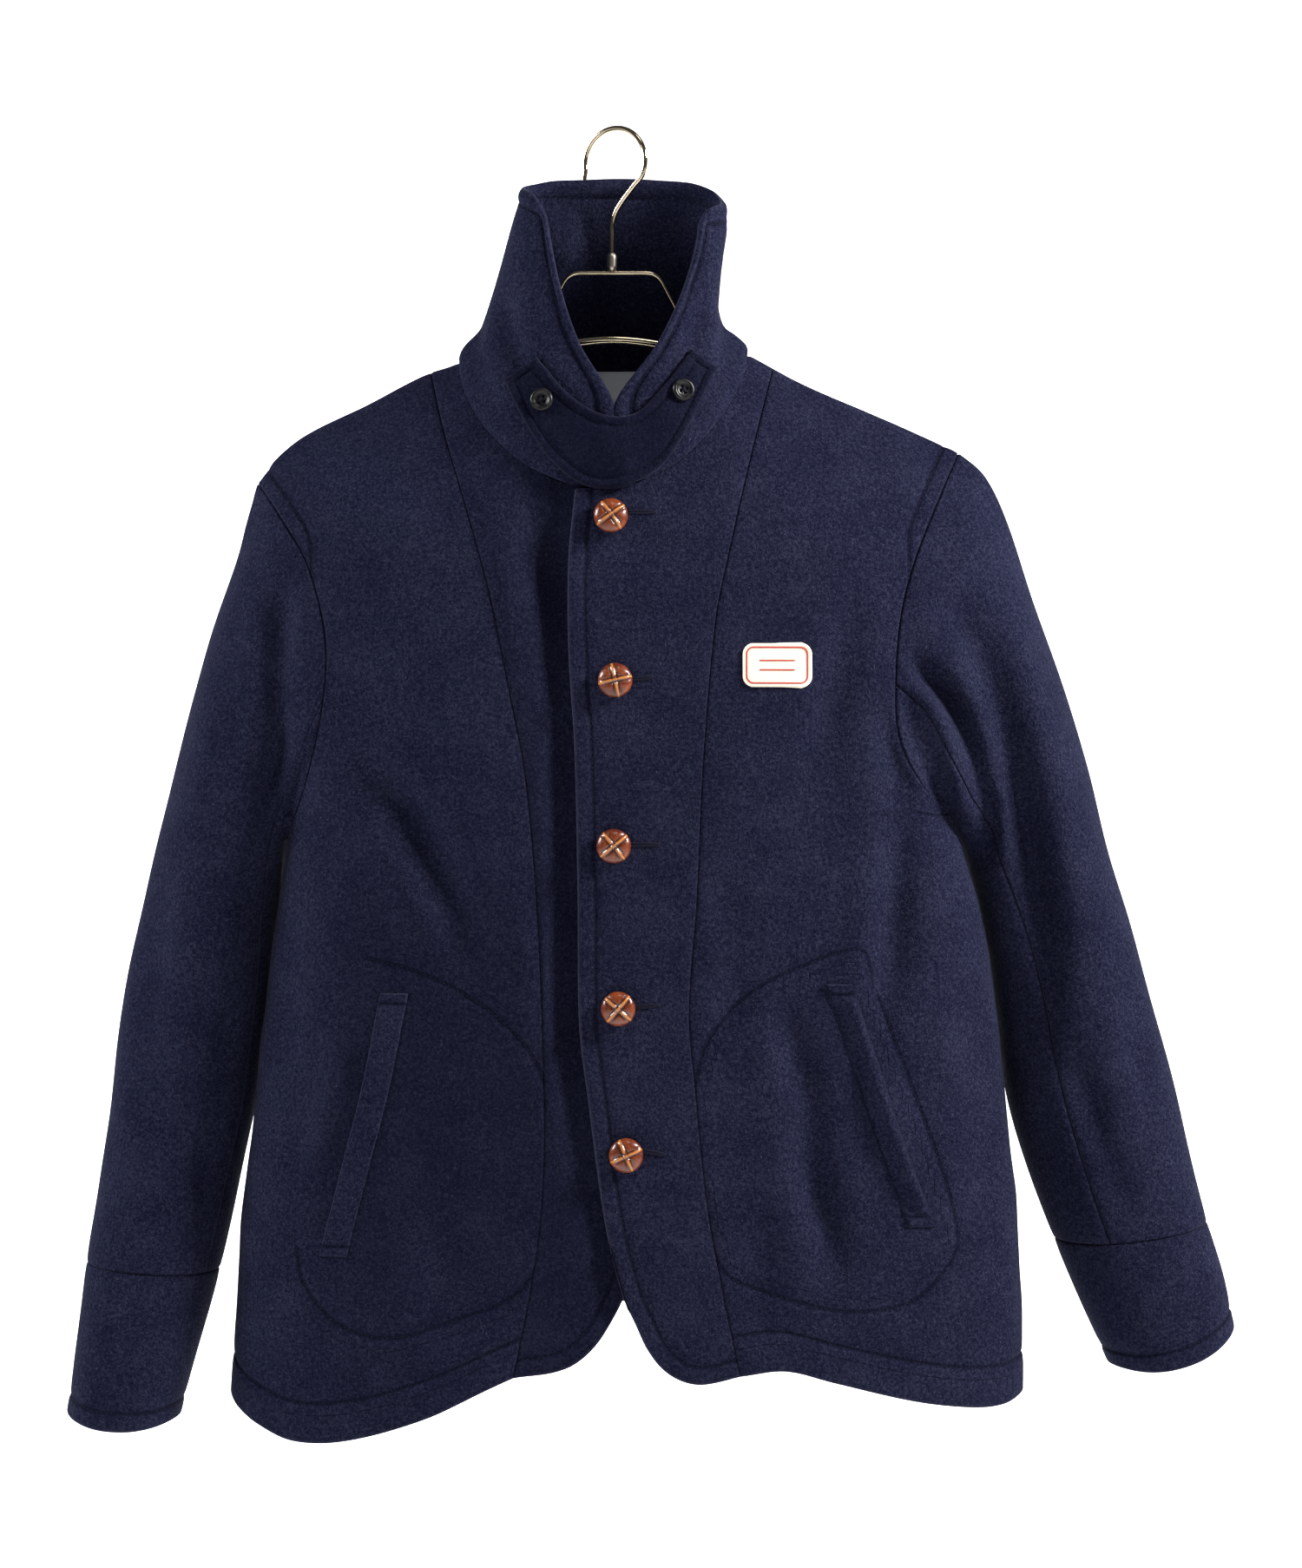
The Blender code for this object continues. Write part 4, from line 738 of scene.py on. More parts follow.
folds = {  # points in the front view, width, depth of each soft trough (-) or ridge (+)
    "front": [
        ([(-172, -398), (-138, -437), (-99, -504), (-80, -556)], 15, -8.8),
        ([(-150, -430), (-128, -480), (-112, -540)], 12, 2.4),
        ([(178, -372), (186, -430), (183, -520), (172, -600)], 12, -7.4),
        ([(160, -296), (150, -340), (136, -403), (118, -450)], 13, -3.5),
        ([(108, -560), (125, -626), (128, -672), (140, -719), (145, -766)], 12, -6.8),
        ([(168, -600), (182, -650), (196, -696)], 10, 2.7),
        ([(-168, -590), (-183, -650), (-197, -700)], 9, 3.2),
        ([(-205, -500), (-208, -570), (-214, -650)], 12, -3.2),
        ([(-120, -620), (-112, -700), (-108, -790)], 16, -2.7),
        ([(-200, -262), (-172, -300), (-150, -352)], 13, -2.4),
        ([(70, -480), (78, -540), (80, -600)], 12, -2.2),
        ([(232, -560), (240, -640), (242, -720)], 12, -3.5),
        ([(100, -700), (92, -750), (104, -796)], 12, -2.4),
        ([(-40, -222), (-44, -262), (-38, -318), (-34, -380)], 15, -7.4),
        ([(-36, -360), (-33, -450), (-30, -560), (-24, -680)], 11, -4.3),
    ],
    "back": [
        ([(-150, -360), (-110, -450), (-92, -560)], 17, -6),
        ([(160, -350), (122, -440), (100, -560)], 16, -6.6),
        ([(-30, -230), (-20, -330), (-36, -430)], 18, -3),
        ([(48, -240), (40, -320), (52, -400)], 16, -2.4),
        ([(-190, -520), (-170, -640), (-178, -760)], 18, -4.8),
        ([(30, -560), (12, -660), (20, -770)], 20, -4.3),
        ([(205, -520), (190, -620), (198, -740)], 17, -5.3),
        ([(-70, -620), (-84, -700), (-76, -790)], 15, -2.9),
        ([(112, -640), (124, -720), (118, -790)], 14, -3.1),
    ],
    "sleeveFrontRight": [
        ([(-212, -292), (-215, -357), (-218, -412), (-234, -466)], 9, -7.5),
        ([(-246, -330), (-262, -420), (-268, -520), (-274, -610)], 15, 3.3),
        ([(-292, -470), (-300, -560), (-306, -650)], 12, -3.6),
        ([(-250, -560), (-262, -640), (-270, -720)], 10, -3.3),
        ([(-300, -700), (-306, -760), (-312, -812)], 9, -2.4),
    ],
    "sleeveFrontLeft": [
        ([(188, -346), (214, -368), (228, -392), (238, -422), (244, -447), (246, -486)], 7, -10.5),
        ([(196, -366), (208, -392), (222, -428), (232, -460)], 8, 4.5),
        ([(216, -306), (237, -336), (256, -390), (270, -470), (280, -529), (286, -600)], 12, -9.5),
        ([(250, -300), (276, -390), (296, -470), (312, -560)], 13, 3.5),
        ([(330, -540), (346, -610), (360, -680)], 12, -2.9),
        ([(300, -600), (318, -660), (334, -712)], 10, -2.6),
    ],
    "sleeveBackRight": [
        ([(-205, -330), (-222, -400), (-236, -470)], 11, -6.5),
        ([(-262, -420), (-280, -520), (-290, -620)], 14, -3.6),
        ([(-252, -540), (-264, -600), (-290, -640)], 11, -3.4),
    ],
    "sleeveBackLeft": [
        ([(200, -320), (224, -396), (246, -466)], 11, -6.5),
        ([(270, -400), (296, -500), (318, -600)], 14, -3.6),
        ([(280, -560), (300, -610), (336, -650)], 11, -3.4),
    ],
}
pockets = {
    "bagRight": [(-155, -540), (-118, -550), (-78, -572), (-50, -601), (-37, -638), (-34, -679), (-42, -722),
                 (-59, -752), (-96, -769), (-142, -782), (-176, -773), (-198, -748), (-202, -727)],
    "bagLeft": [(167, -553), (160, -534), (125, -543), (88, -562), (63, -590), (54, -618), (52, -662),
                (61, -704), (72, -739), (106, -754), (150, -765), (194, -759), (220, -732), (223, -716),
                (210, -670), (187, -608), (172, -566)],
    "weltRight": [(-138, -562), (-150, -622), (-163, -673), (-178, -731)],
    "weltLeft": [(145, -556), (161, -604), (176, -650), (199, -712)],
    "weltWidth": 18,
    "weltTack": 7,
    "bagReach": 92,
}
outlines = {
    "front_centre_left": np.concatenate([alongCurve(seams["edgeLeft"], np.linspace(0, 1, 40)),
                                         alongCurve(seams["hemCentreLeft"], np.linspace(0, 1, 40))[1:]]),
    "front_centre_right": np.concatenate([alongCurve(seams["edgeRight"], np.linspace(0, 1, 30)),
                                          alongCurve(seams["hemCentreRight"], np.linspace(1, 0, 40))[1:]]),
}
bodyNormals = {name: facingNormals(grid, 1 if name == "back" else -1) for name, grid in base.items()}
stitchPaths = []      # each a line of points on the cloth


# Sleeves

sleeves = {
    "right": [  # out x, out z, in x, in z, half depth, y, bulge
        (-233, -231, -212.5, -465, 50, 0, 36), (-240.8, -256.8, -216.3, -467.5, 51, 3, 31),
        (-247.8, -283.6, -217, -474, 52, 7, 25), (-263.5, -331.5, -218, -484, 52, 12, 15),
        (-278.1, -379.7, -219.2, -497, 53, 16, 8), (-291.6, -428, -221, -514, 53, 19, 3),
        (-304, -478.5, -223.7, -538, 53, 21, 0), (-315.2, -531, -227, -568, 52, 22, 0),
        (-324.3, -581.4, -231, -604, 51, 22, 0), (-331.7, -637.9, -236.4, -650, 49, 19, 0),
        (-338.7, -691.9, -247.5, -700, 46, 13, 0), (-344.8, -741.5, -259, -747, 43, 5, -1.5),
        (-349.3, -788.8, -270.6, -794, 41, -2, -3), (-355.3, -838.4, -283.3, -842, 40, -6, -6)],
    "left": [  # out x, out z, in x, in z, half depth, y, bulge
        (228, -211, 225, -449, 50, 0, 42), (246.3, -227.7, 229.4, -451.5, 51, 3, 36),
        (262.7, -261.5, 231, -459, 52, 7, 29), (281.2, -315.5, 233.4, -470, 52, 12, 17),
        (298.8, -367.6, 236.9, -484, 53, 17, 8), (314.1, -419.9, 241.6, -502, 53, 20, 3),
        (327.3, -468.3, 246.5, -526, 53, 22, 0), (342.6, -516.7, 251.5, -556, 52, 23, 0),
        (355.7, -565.1, 256.3, -592, 51, 23, 0), (369.7, -621.5, 262, -636, 49, 21, 0),
        (381.7, -673.5, 274.5, -684, 46, 15, 0), (391.4, -716.1, 291, -728, 43, 8, -3),
        (401.8, -752.7, 308.6, -770, 41, 2, -6), (407.3, -783.3, 327.3, -808, 39, -2, -10)],
    "seamAnglesRight": [(0, 108), (4, 135), (7, 150), (13, 150)],
    "seamAnglesLeft": [(0, 108), (4, 125), (9, 112), (13, 107)],
    "backSeamAngle": 118,
    "headBlends": [(0, 1), (1, 0.75), (2, 0.5), (3, 0.2), (4, 0.05), (5, 0)],
    "power": 2.2,
    "seeds": {"right": 11, "left": 12},
}


def ringPoints(ring, angle, isBack):
    # half a ring round the sleeve: angle 0 is its outer side, 180 its inner side
    outX, outZ, inX, inZ, depth, middleY, bulge = ring
    middleX, middleZ = (outX + inX) / 2, (outZ + inZ) / 2
    reachX, reachZ = (outX - inX) / 2, (outZ - inZ) / 2
    side = np.where(middleX < 0, 1.0, -1.0)
    size = np.hypot(reachX, reachZ)
    towardX, towardZ = reachZ / size * side, -reachX / size * side
    cosine, sine = np.cos(np.radians(angle)), np.sin(np.radians(angle))
    power = 2 / sleeves["power"]
    along = np.sign(cosine) * np.abs(cosine) ** power
    across = np.abs(sine) ** power
    shrink = seams["backArmholeBulge"] if isBack else 1.0
    push = bulge * shrink * sine ** 2
    y = middleY + (depth if isBack else -depth) * across
    return np.stack([middleX + reachX * along + towardX * push, y + 0 * push,
                     middleZ + reachZ * along + towardZ * push], -1)


def columnAngle(share, seamAngle):
    # the columns are shared out so that the sleeve's long seam runs along one of them
    mid = seams["sleeveSeamShare"]
    return np.where(share <= mid, seamAngle * share / mid, mixed(seamAngle, 180, (share - mid) / (1 - mid)))


sleeveShares = armShare(highRows)
armholeEdge = {"right": (slice(len(highRows)), 0), "left": (slice(len(highRows)), -1)}
# places down the sleeve, in rings of its table; they crowd together at the seams and the cuff's rim
sleevePlaces = np.unique(np.concatenate([[0, 0.02, 0.05, 0.09, 0.15], np.linspace(0, 11, 150),
                                         10.985 - np.array([0, 0.012, 0.03, 0.06])]))
cuffPlaces = np.concatenate([[11, 11.012, 11.03, 11.06], np.linspace(11.1, 12.68, 22)[:-1],
                             12.68 + np.linspace(0, 0.28, 10)[:-1], [12.96, 12.975, 12.985, 12.994, 13]])


def sleeveGrid(side, places):
    table = [(index,) + tuple(row) for index, row in enumerate(sleeves[side])]
    ring = [readTable(table, column, places)[:, None] for column in range(1, 8)]
    first = [np.array(float(value)) for value in sleeves[side][0]]
    seamTable = sleeves["seamAngles" + side.capitalize()]
    armhole = {False: base["front_side_" + side][armholeEdge[side]], True: base["back"][armholeEdge[side]]}
    blend = np.interp(places, *zip(*sleeves["headBlends"]))[:, None, None]
    parts = []
    for isBack in (False, True):
        seamAngle = (np.full(len(places), float(sleeves["backSeamAngle"])) if isBack
                     else readTable(seamTable, 1, places))[:, None]
        points = ringPoints(ring, columnAngle(sleeveShares, seamAngle), isBack)
        startAngle = sleeves["backSeamAngle"] if isBack else seamTable[0][1]
        start = ringPoints(first, columnAngle(sleeveShares, startAngle), isBack)
        parts.append(points + (armhole[isBack] - start) * blend)
    front, rear = parts
    return np.concatenate([front, rear[:, -2:0:-1]], 1)


def outwardNormals(grid):
    normal = gridNormals(grid, True)
    centre = grid.mean(1, keepdims=True)
    return -normal if ((grid - centre) * normal).sum() < 0 else normal


def shareColumn(share):
    return int(np.abs(sleeveShares - share).argmin())


def sleevePush(grid, normal, side):
    title = side.capitalize()
    front = foldPush(grid[..., 0], grid[..., 2], folds["sleeveFront" + title])
    rear = foldPush(grid[..., 0], grid[..., 2], folds["sleeveBack" + title])
    facing = smoothStep(np.abs(normal[..., 1]) * 1.6)
    return np.where(normal[..., 1] < 0, front, rear) * facing + clothWave(grid, sleeves["seeds"][side], 0.9)


def seamDip(distances):
    # cloth sinks towards its nearest seam
    nearest = np.minimum.reduce(distances)
    return roundOff(nearest, cloth["seamRadius"], cloth["seamDepth"]) - 0.35 * bell(nearest, 6), nearest


def joinNormals(side, grid, normal):
    # the sleeve's head and the armhole share their normals, so that they meet without a step
    count, rim = len(sleeveShares), armholeEdge[side]
    front, back = bodyNormals["front_side_" + side], bodyNormals["back"]
    shared = unit(normal[0] + np.concatenate([front[rim], back[rim][-2:0:-1]]))
    front[rim] = shared[:count]
    back[rim] = np.concatenate([shared[:1], shared[count:][::-1], shared[count - 1:count]])
    fade = np.clip(1 - runLengths(grid, 0) / 7, 0, 1)[..., None]
    return unit(normal * (1 - fade) + shared * fade)


def makeSleeve(side):
    grid = sleeveGrid(side, sleevePlaces)
    normal = joinNormals(side, grid, outwardNormals(grid))
    push = sleevePush(grid, normal, side)
    down = runLengths(grid, 0)
    mid, total = shareColumn(seams["sleeveSeamShare"]), grid.shape[1]
    upper = [column % total for column in range(-mid, mid + 1)]
    lower = list(range(mid, total - mid + 1))
    for name, columns in (("sleeve_upper_" + side, upper), ("sleeve_under_" + side, lower)):
        part, fromTop = grid[:, columns], down[:, columns]
        across = runLengths(part, 1)
        dip, nearest = seamDip([across, across[:, -1:] - across, fromTop, fromTop[-1:] - fromTop])
        marks = {"stitch": np.clip(nearest + 0.9, 0, cloth["stitchReach"]),
                 "edge": np.full(dip.shape, cloth["edgeReach"])}
        shape = push[:, columns] * (smoothStep(fromTop / 16) * 0.9 + 0.1)
        makeCloth(name, part, normal[:, columns], shape + dip, cloth["wall"] - shape, marks)


def makeCuff(side):
    grid = sleeveGrid(side, cuffPlaces)
    normal = outwardNormals(grid)
    down = runLengths(grid, 0)
    toFoot, stitch = down[-1:] - down, cloth["cuffStitch"]
    shape = sleevePush(grid, normal, side)
    lift = cloth["turnedLift"] * smoothStep((stitch + 2 - toFoot) / 3)
    push = shape + seamDip([down])[0] + lift + stitchSink(toFoot - stitch) + edgeRound(toFoot)
    wall = mixed(cloth["wall"], cloth["turnedWall"], smoothStep((stitch - toFoot) / 4)) - shape
    wall = wall + edgeRound(toFoot)
    marks = {"stitch": stitchMark(toFoot - stitch), "edge": toFoot}
    makeCloth("cuff_" + side, grid, normal, push, wall, marks, True)
    row = int(np.abs(toFoot.mean(1) - stitch).argmin())
    rim = (grid + normal * push[..., None])[row] - normal[row] * 0.05
    stitchPaths.append(np.concatenate([rim, rim[:1]]))


for side in ("right", "left"):
    makeSleeve(side)
    makeCuff(side)
print("sleeves made")


def armholeBand(z):
    # how far the armhole's stitch line stands from the seam
    return cloth["armholeStitch"] * smoothStep((z - cloth["armholeStitchEnd"]) / cloth["armholeFade"])


def makePanel(name):
    isBack, isRight = name == "back", name.endswith("right")
    grid, normal = base[name], bodyNormals[name]
    x, z = grid[..., 0], grid[..., 2]
    across, down = runLengths(grid, 1), runLengths(grid, 0)
    fromStart, fromEnd = across, across[:, -1:] - across
    fromTop, toFoot = down, down[-1:] - down
    fromSide = fromStart if isRight else fromEnd
    shape = foldPush(x, z, folds["back" if isBack else "front"]) + clothWave(grid, 6 if isBack else 5, 0.8)
    if name in outlines:
        gap = np.abs(lineDistance(x, z, outlines[name])[0])
        edge = np.where(z < cloth["frontTop"], gap, cloth["edgeReach"])
        shape = shape * smoothStep(edge / cloth["edgeReach"])
        stitch, fade, lift = cloth["edgeStitch"], 3, 1.0
        seamDistances, holes = [fromSide, fromTop], []
    else:
        edge = toFoot
        stitch, fade, lift = cloth["hemStitch"], 4, 0.7
        seamDistances, holes = [fromStart, fromEnd, fromTop], [fromStart, fromEnd] if isBack else [fromSide]
    near = smoothStep((stitch + 2 - edge) / fade)
    push = lift * cloth["turnedLift"] * near + stitchSink(edge - stitch) + edgeRound(edge)
    wall = cloth["wall"] + (cloth["turnedWall"] - cloth["wall"]) * near + edgeRound(edge)
    lines = [np.full(x.shape, cloth["stitchReach"]), edge - stitch]
    for hole in holes:      # the seam allowance stitched down beside the armhole, over the shoulder
        shown = z > cloth["armholeStitchEnd"]
        band = hole - armholeBand(z)
        sink = stitchSink(band) * smoothStep(hole / 5) + 0.3 * bell(hole - 5.5, 4)
        push = push + np.where(shown, sink, 0)
        lines.append(np.where(shown, band, cloth["stitchReach"]))
    if name.startswith("front_side"):      # the pocket bag, stitched through the front
        bag = alongCurve(pockets["bag" + ("Right" if isRight else "Left")], np.linspace(0, 1, 90))
        gap = lineDistance(x, z, bag)[0]
        lines.append(gap)
        middle = bag.mean(0)
        inside = np.hypot(x - middle[0], z - middle[1]) < pockets["bagReach"]
        push = push + stitchSink(gap) * 0.9 + 0.35 * bell(np.abs(gap) - 5, 4) * inside
    dip, nearest = seamDip(seamDistances)
    shape = shape * (0.25 + 0.75 * smoothStep(nearest / 12))
    push = push * (0.25 + 0.75 * smoothStep(nearest / 4)) + dip + shape
    marks = {"stitch": stitchMark(nearestLine(lines)), "edge": np.clip(edge, 0, cloth["edgeReach"])}
    # painted shade: darker under the placket, in the shadow of the over-lapping front, and by the wearer's
    # right pocket
    if name == "front_centre_right":
        marks["shade"] = 0.40 * smoothStep((x + 110) / 75)
    elif name == "front_side_right":
        marks["shade"] = 0.36 * bell(z + 640, 150) * smoothStep((x + 215) / 70)
    return makeCloth(name, grid, normal, push, wall - shape, marks)


panels = {name: makePanel(name) for name in base}
print("body made")


# Collar

collar = {
    "levels": [  # share of the height, right x, left x, front y, back y, right end, left end
        (0.00, -101, 89, -61, 44, 1, 3), (0.15, -88.5, 76, -60, 42, 1.6, 2.6),
        (0.30, -81.5, 71, -58, 38, 1.5, 2.8), (0.50, -74, 71.5, -55, 29, -20, 29),
        (0.70, -67, 73, -53, 19, -33, 47), (0.88, -61, 74.5, -51, 11, -40, 56),
        (1.00, -57, 71, -50, 7, -43, 57)],
    "top": [  # share round the neck, z
        (0, -52), (0.10, -46), (0.20, -42.5), (0.28, -40), (0.35, -36), (0.40, -32.5), (0.45, -31),
        (0.50, -30), (0.55, -31.5), (0.60, -34), (0.65, -40), (0.70, -48), (0.80, -53), (1, -55)],
    "power": 2.3,
    "frontShare": 0.3,
    "sideAngle": 95,
    "centre": (5.0, -8.0),
    "baseBlend": 0.2,
    "corner": 17.0,
    "wall": 2.85,
    "roll": 7.0,        # the rolled rim's crest, from the edge
    "secondLine": 2.2,
    "edgeMarks": [0, 0.3, 0.8, 1.5, 2.4, 3.4, 4.8, 6.5, 8.5, 10.5, 11.7, 12.5, 13.2, 14, 15, 15.8, 16.8,
                  18.5],
    "footMarks": [0, 0.5, 1.1, 2, 3.4],
    "frontCreases": [  # points in the front view, width, depth
        ([(-76, -104), (-68, -130), (-60, -152), (-52, -170)], 7, -4.0),
        ([(-86, -128), (-76, -160), (-60, -190)], 9, 1.6),
        ([(-60, -90), (-50, -120), (-38, -150)], 10, 1.2),
        ([(68, -118), (66, -138), (62, -158)], 5, 2.0),
        ([(52, -96), (56, -126), (50, -160)], 7, -1.8),
        ([(40, -168), (52, -190), (70, -196)], 8, -1.4),
    ],
    "rearCreases": [
        ([(-44, -48), (-38, -90), (-46, -140)], 7, -2.6),
        ([(-24, -44), (-14, -96), (-20, -150)], 7, 2.2),
        ([(10, -50), (6, -96), (16, -150)], 8, -1.8),
        ([(40, -46), (44, -90), (38, -140)], 9, 2.4),
    ],
}


def neckLoop(places):
    # the neck seam, from the right front end round the back to the left front end
    steps, frontSteps = 20, 6
    backSteps, leftStart = steps - 2 * frontSteps, steps - frontSteps
    index = places * steps
    right = alongCurve(seams["neckRight"], np.clip(1 - index / frontSteps, 0, 1))
    left = alongCurve(seams["neckLeft"], np.clip((index - leftStart) / frontSteps, 0, 1))
    back = alongCurve(seams["neckBack"], np.clip((index - frontSteps) / backSteps, 0, 1))
    for line in (right, left, back):
        line[:, 1] = np.minimum(line[:, 1], ridgeZ(line[:, 0]))
    right, left = bodyPoints(right[:, 0], right[:, 1], -1), bodyPoints(left[:, 0], left[:, 1], -1)
    back = bodyPoints(back[:, 0], back[:, 1], 1)
    lap = np.interp(right[:, 0], [-40, 0], [0, 1])
    right[:, 1] += body["underlapDrop"] * smoothStep(lap)
    index = index[:, None]
    return np.where(index < frontSteps, right, np.where(index > leftStart, left, back))


def collarGrid(places, levels):
    table = collar["levels"]
    right, left, frontY, backY, endRight, endLeft = (
        readTable(table, column, levels)[:, None] for column in range(1, 7))
    centreX, centreY = (right + left) / 2, (frontY + backY) / 2
    halfX, halfY = (left - right) / 2, (backY - frontY) / 2

    def frontAngle(x):
        share = (x - centreX) / halfX
        return np.sign(share) * np.degrees(np.arcsin(np.abs(share) ** (collar["power"] / 2)))

    # the front takes the first and last shares of the places, and the turn passes the sides between them
    start, end = frontAngle(endRight), frontAngle(endLeft)
    place, front, side = places[None, :], collar["frontShare"], collar["sideAngle"]
    rightPart = mixed(start, -side, place / front)
    leftPart = mixed(side, end, (place - (1 - front)) / front)
    backPart = mixed(-side, side - 360, (place - front) / (1 - 2 * front))
    angle = np.where(place < front, rightPart, np.where(place > 1 - front, leftPart, backPart))
    sine, cosine = np.sin(np.radians(angle)), np.cos(np.radians(angle))
    power = 2 / collar["power"]
    x = centreX + halfX * np.sign(sine) * np.abs(sine) ** power
    y = centreY - halfY * np.sign(cosine) * np.abs(cosine) ** power
    seam = neckLoop(places)
    z = mixed(seam[None, :, 2], readTable(collar["top"], 1, places)[None, :], levels[:, None])
    blend = smoothStep(levels / collar["baseBlend"])[:, None]
    return np.stack([mixed(seam[None, :, 0], x, blend), mixed(seam[None, :, 1], y, blend), z], -1)


def cutCorners(grid):
    # the front corners are rounded off: each column near an end stops short of the top
    corner = collar["corner"]
    topRun = runLengths(grid, 1)[-1]
    fromEnd = np.clip(np.minimum(topRun, topRun[-1] - topRun), 0, corner)
    short = corner - np.sqrt(corner ** 2 - (corner - fromEnd) ** 2)
    tall = runLengths(grid, 0)[-1]
    for column in np.flatnonzero(short > 0):
        run = runLengths(grid[:, column:column + 1], 0)[:, 0]
        keep = run * (1 - short[column] / tall[column])
        line = grid[:, column].copy()
        grid[:, column] = np.stack([np.interp(keep, run, line[:, axis]) for axis in range(3)], -1)
    upright = respaced(grid.transpose(1, 0, 2), collar["footMarks"], collar["edgeMarks"], 34)
    return upright.transpose(1, 0, 2), short


def sewCollar(face, edge, column):
    # one line up an end, along under the rim and down the other end
    last = edge.shape[1] - 1 - column
    crest, rows = [], []
    for at in range(column + 1, last):
        row = int(np.flatnonzero(edge[:, at] > cloth["collarStitch"])[-1])
        share = (edge[row, at] - cloth["collarStitch"]) / (edge[row, at] - edge[row + 1, at])
        crest.append(mixed(face[row, at], face[row + 1, at], share))
        rows.append(row)
    stitchPaths.append(np.concatenate([face[4:rows[0], column], crest, face[4:rows[-1], last][::-1]]))


def makeCollar():
    grid = collarGrid(np.linspace(0, 1, 321), np.linspace(0, 1, 120))
    grid, short = cutCorners(respaced(grid, collar["edgeMarks"], collar["edgeMarks"], 206))
    normal = gridNormals(grid)
    if ((grid[..., :2] - np.array(collar["centre"])) * normal[..., :2]).sum() < 0:
        normal = -normal
    across, up = runLengths(grid, 1), runLengths(grid, 0)
    ends = np.minimum(across, across[:, -1:] - across)
    fullTop = up[-1:] - up + short[None]
    corner = collar["corner"]
    inCorner = (ends < corner) & (fullTop < corner)
    edge = np.where(inCorner, corner - np.hypot(corner - ends, corner - fullTop), np.minimum(fullTop, ends))
    edge = np.maximum(edge, 0)
    x, y, z = grid[..., 0], grid[..., 1], grid[..., 2]
    push = (foldPush(x, z, collar["frontCreases"]) * smoothStep((-y - 5) / 25)
            + foldPush(x, z, collar["rearCreases"]) * smoothStep((y + 4) / 12))
    push = push * smoothStep(edge / 12) * smoothStep(up / 14) + clothWave(grid, 21, 0.7) * smoothStep(up / 10)
    stitch = cloth["collarStitch"]
    lines = [edge - stitch,
             np.where(fullTop > stitch + 5, edge - stitch - collar["secondLine"], cloth["stitchReach"])]
    roll = bell(edge - collar["roll"], 5.5)
    dip = roundOff(up, cloth["seamRadius"], cloth["seamDepth"]) + roundOff(edge, 4.0, 2.0)
    outerPush = push + 1.6 * roll + stitchSink(lines[0]) + 0.6 * stitchSink(lines[1]) + dip + 0.5
    wall = collar["wall"] - push + 1.2 * roll + stitchSink(lines[0]) + roundOff(edge, 4.0, 1.8)
    marks = {"stitch": stitchMark(nearestLine(lines)), "edge": edge}
    piece = makeCloth("collar", grid, normal, outerPush, wall, marks)
    column = int(np.abs(across.mean(0) - stitch).argmin())
    for face in (grid + normal * (outerPush - 0.05)[..., None], grid - normal * (wall - 0.05)[..., None]):
        sewCollar(face, edge, column)
    return piece


collarPiece = makeCollar()
print("collar made")


# Pieces laid on the cloth

frontTrees = [treeOf(panels[name]) for name in panels if name != "back"] + [treeOf(collarPiece)]


def neighbourSum(y):
    padded = np.pad(y, 1, mode="edge")
    return padded[:-2, 1:-1] + padded[2:, 1:-1] + padded[1:-1, :-2] + padded[1:-1, 2:]


def laidGrid(outline, tautPasses):
    # points of a sewn-on piece in the front view, laid on the cloth and pulled taut over hollows
    farthest, softPasses = -15, 6
    y = np.full(outline.shape[:2], np.nan)
    for place in np.ndindex(y.shape):
        met = castFrom(frontTrees, *outline[place])
        if met is not None and met[0].y <= farthest:
            y[place] = met[0].y
    y = np.where(np.isnan(y), np.nanmean(y, axis=0, keepdims=True), y)
    for _ in range(tautPasses):
        y = np.minimum(y, neighbourSum(y) / 4)
    for _ in range(softPasses):
        y = (neighbourSum(y) + 4 * y) / 8
    return np.stack([outline[..., 0], y, outline[..., 1]], -1)


tab = {
    "upper": [(-47, -155), (-28, -178), (-11, -190), (4, -194), (18, -190), (36, -170), (51, -149)],
    "lower": [(-69, -169), (-53, -200), (-37, -223), (-14, -239), (10, -238), (37, -220), (68, -160)],
    "thickness": 3.6,
    "stitch": 6.5,
    "rimRadius": 1.9,
    # painted shade over the whole tab, which lies in the collar's shadow
    "shade": 0.66,
    "edgeMarks": [0, 0.3, 0.8, 1.5, 2.4, 4, 5.2, 6, 6.5, 7, 7.8, 9.5],
    "buttons": {"tab_button_right": (-44, -183), "tab_button_left": (46, -176)},
}


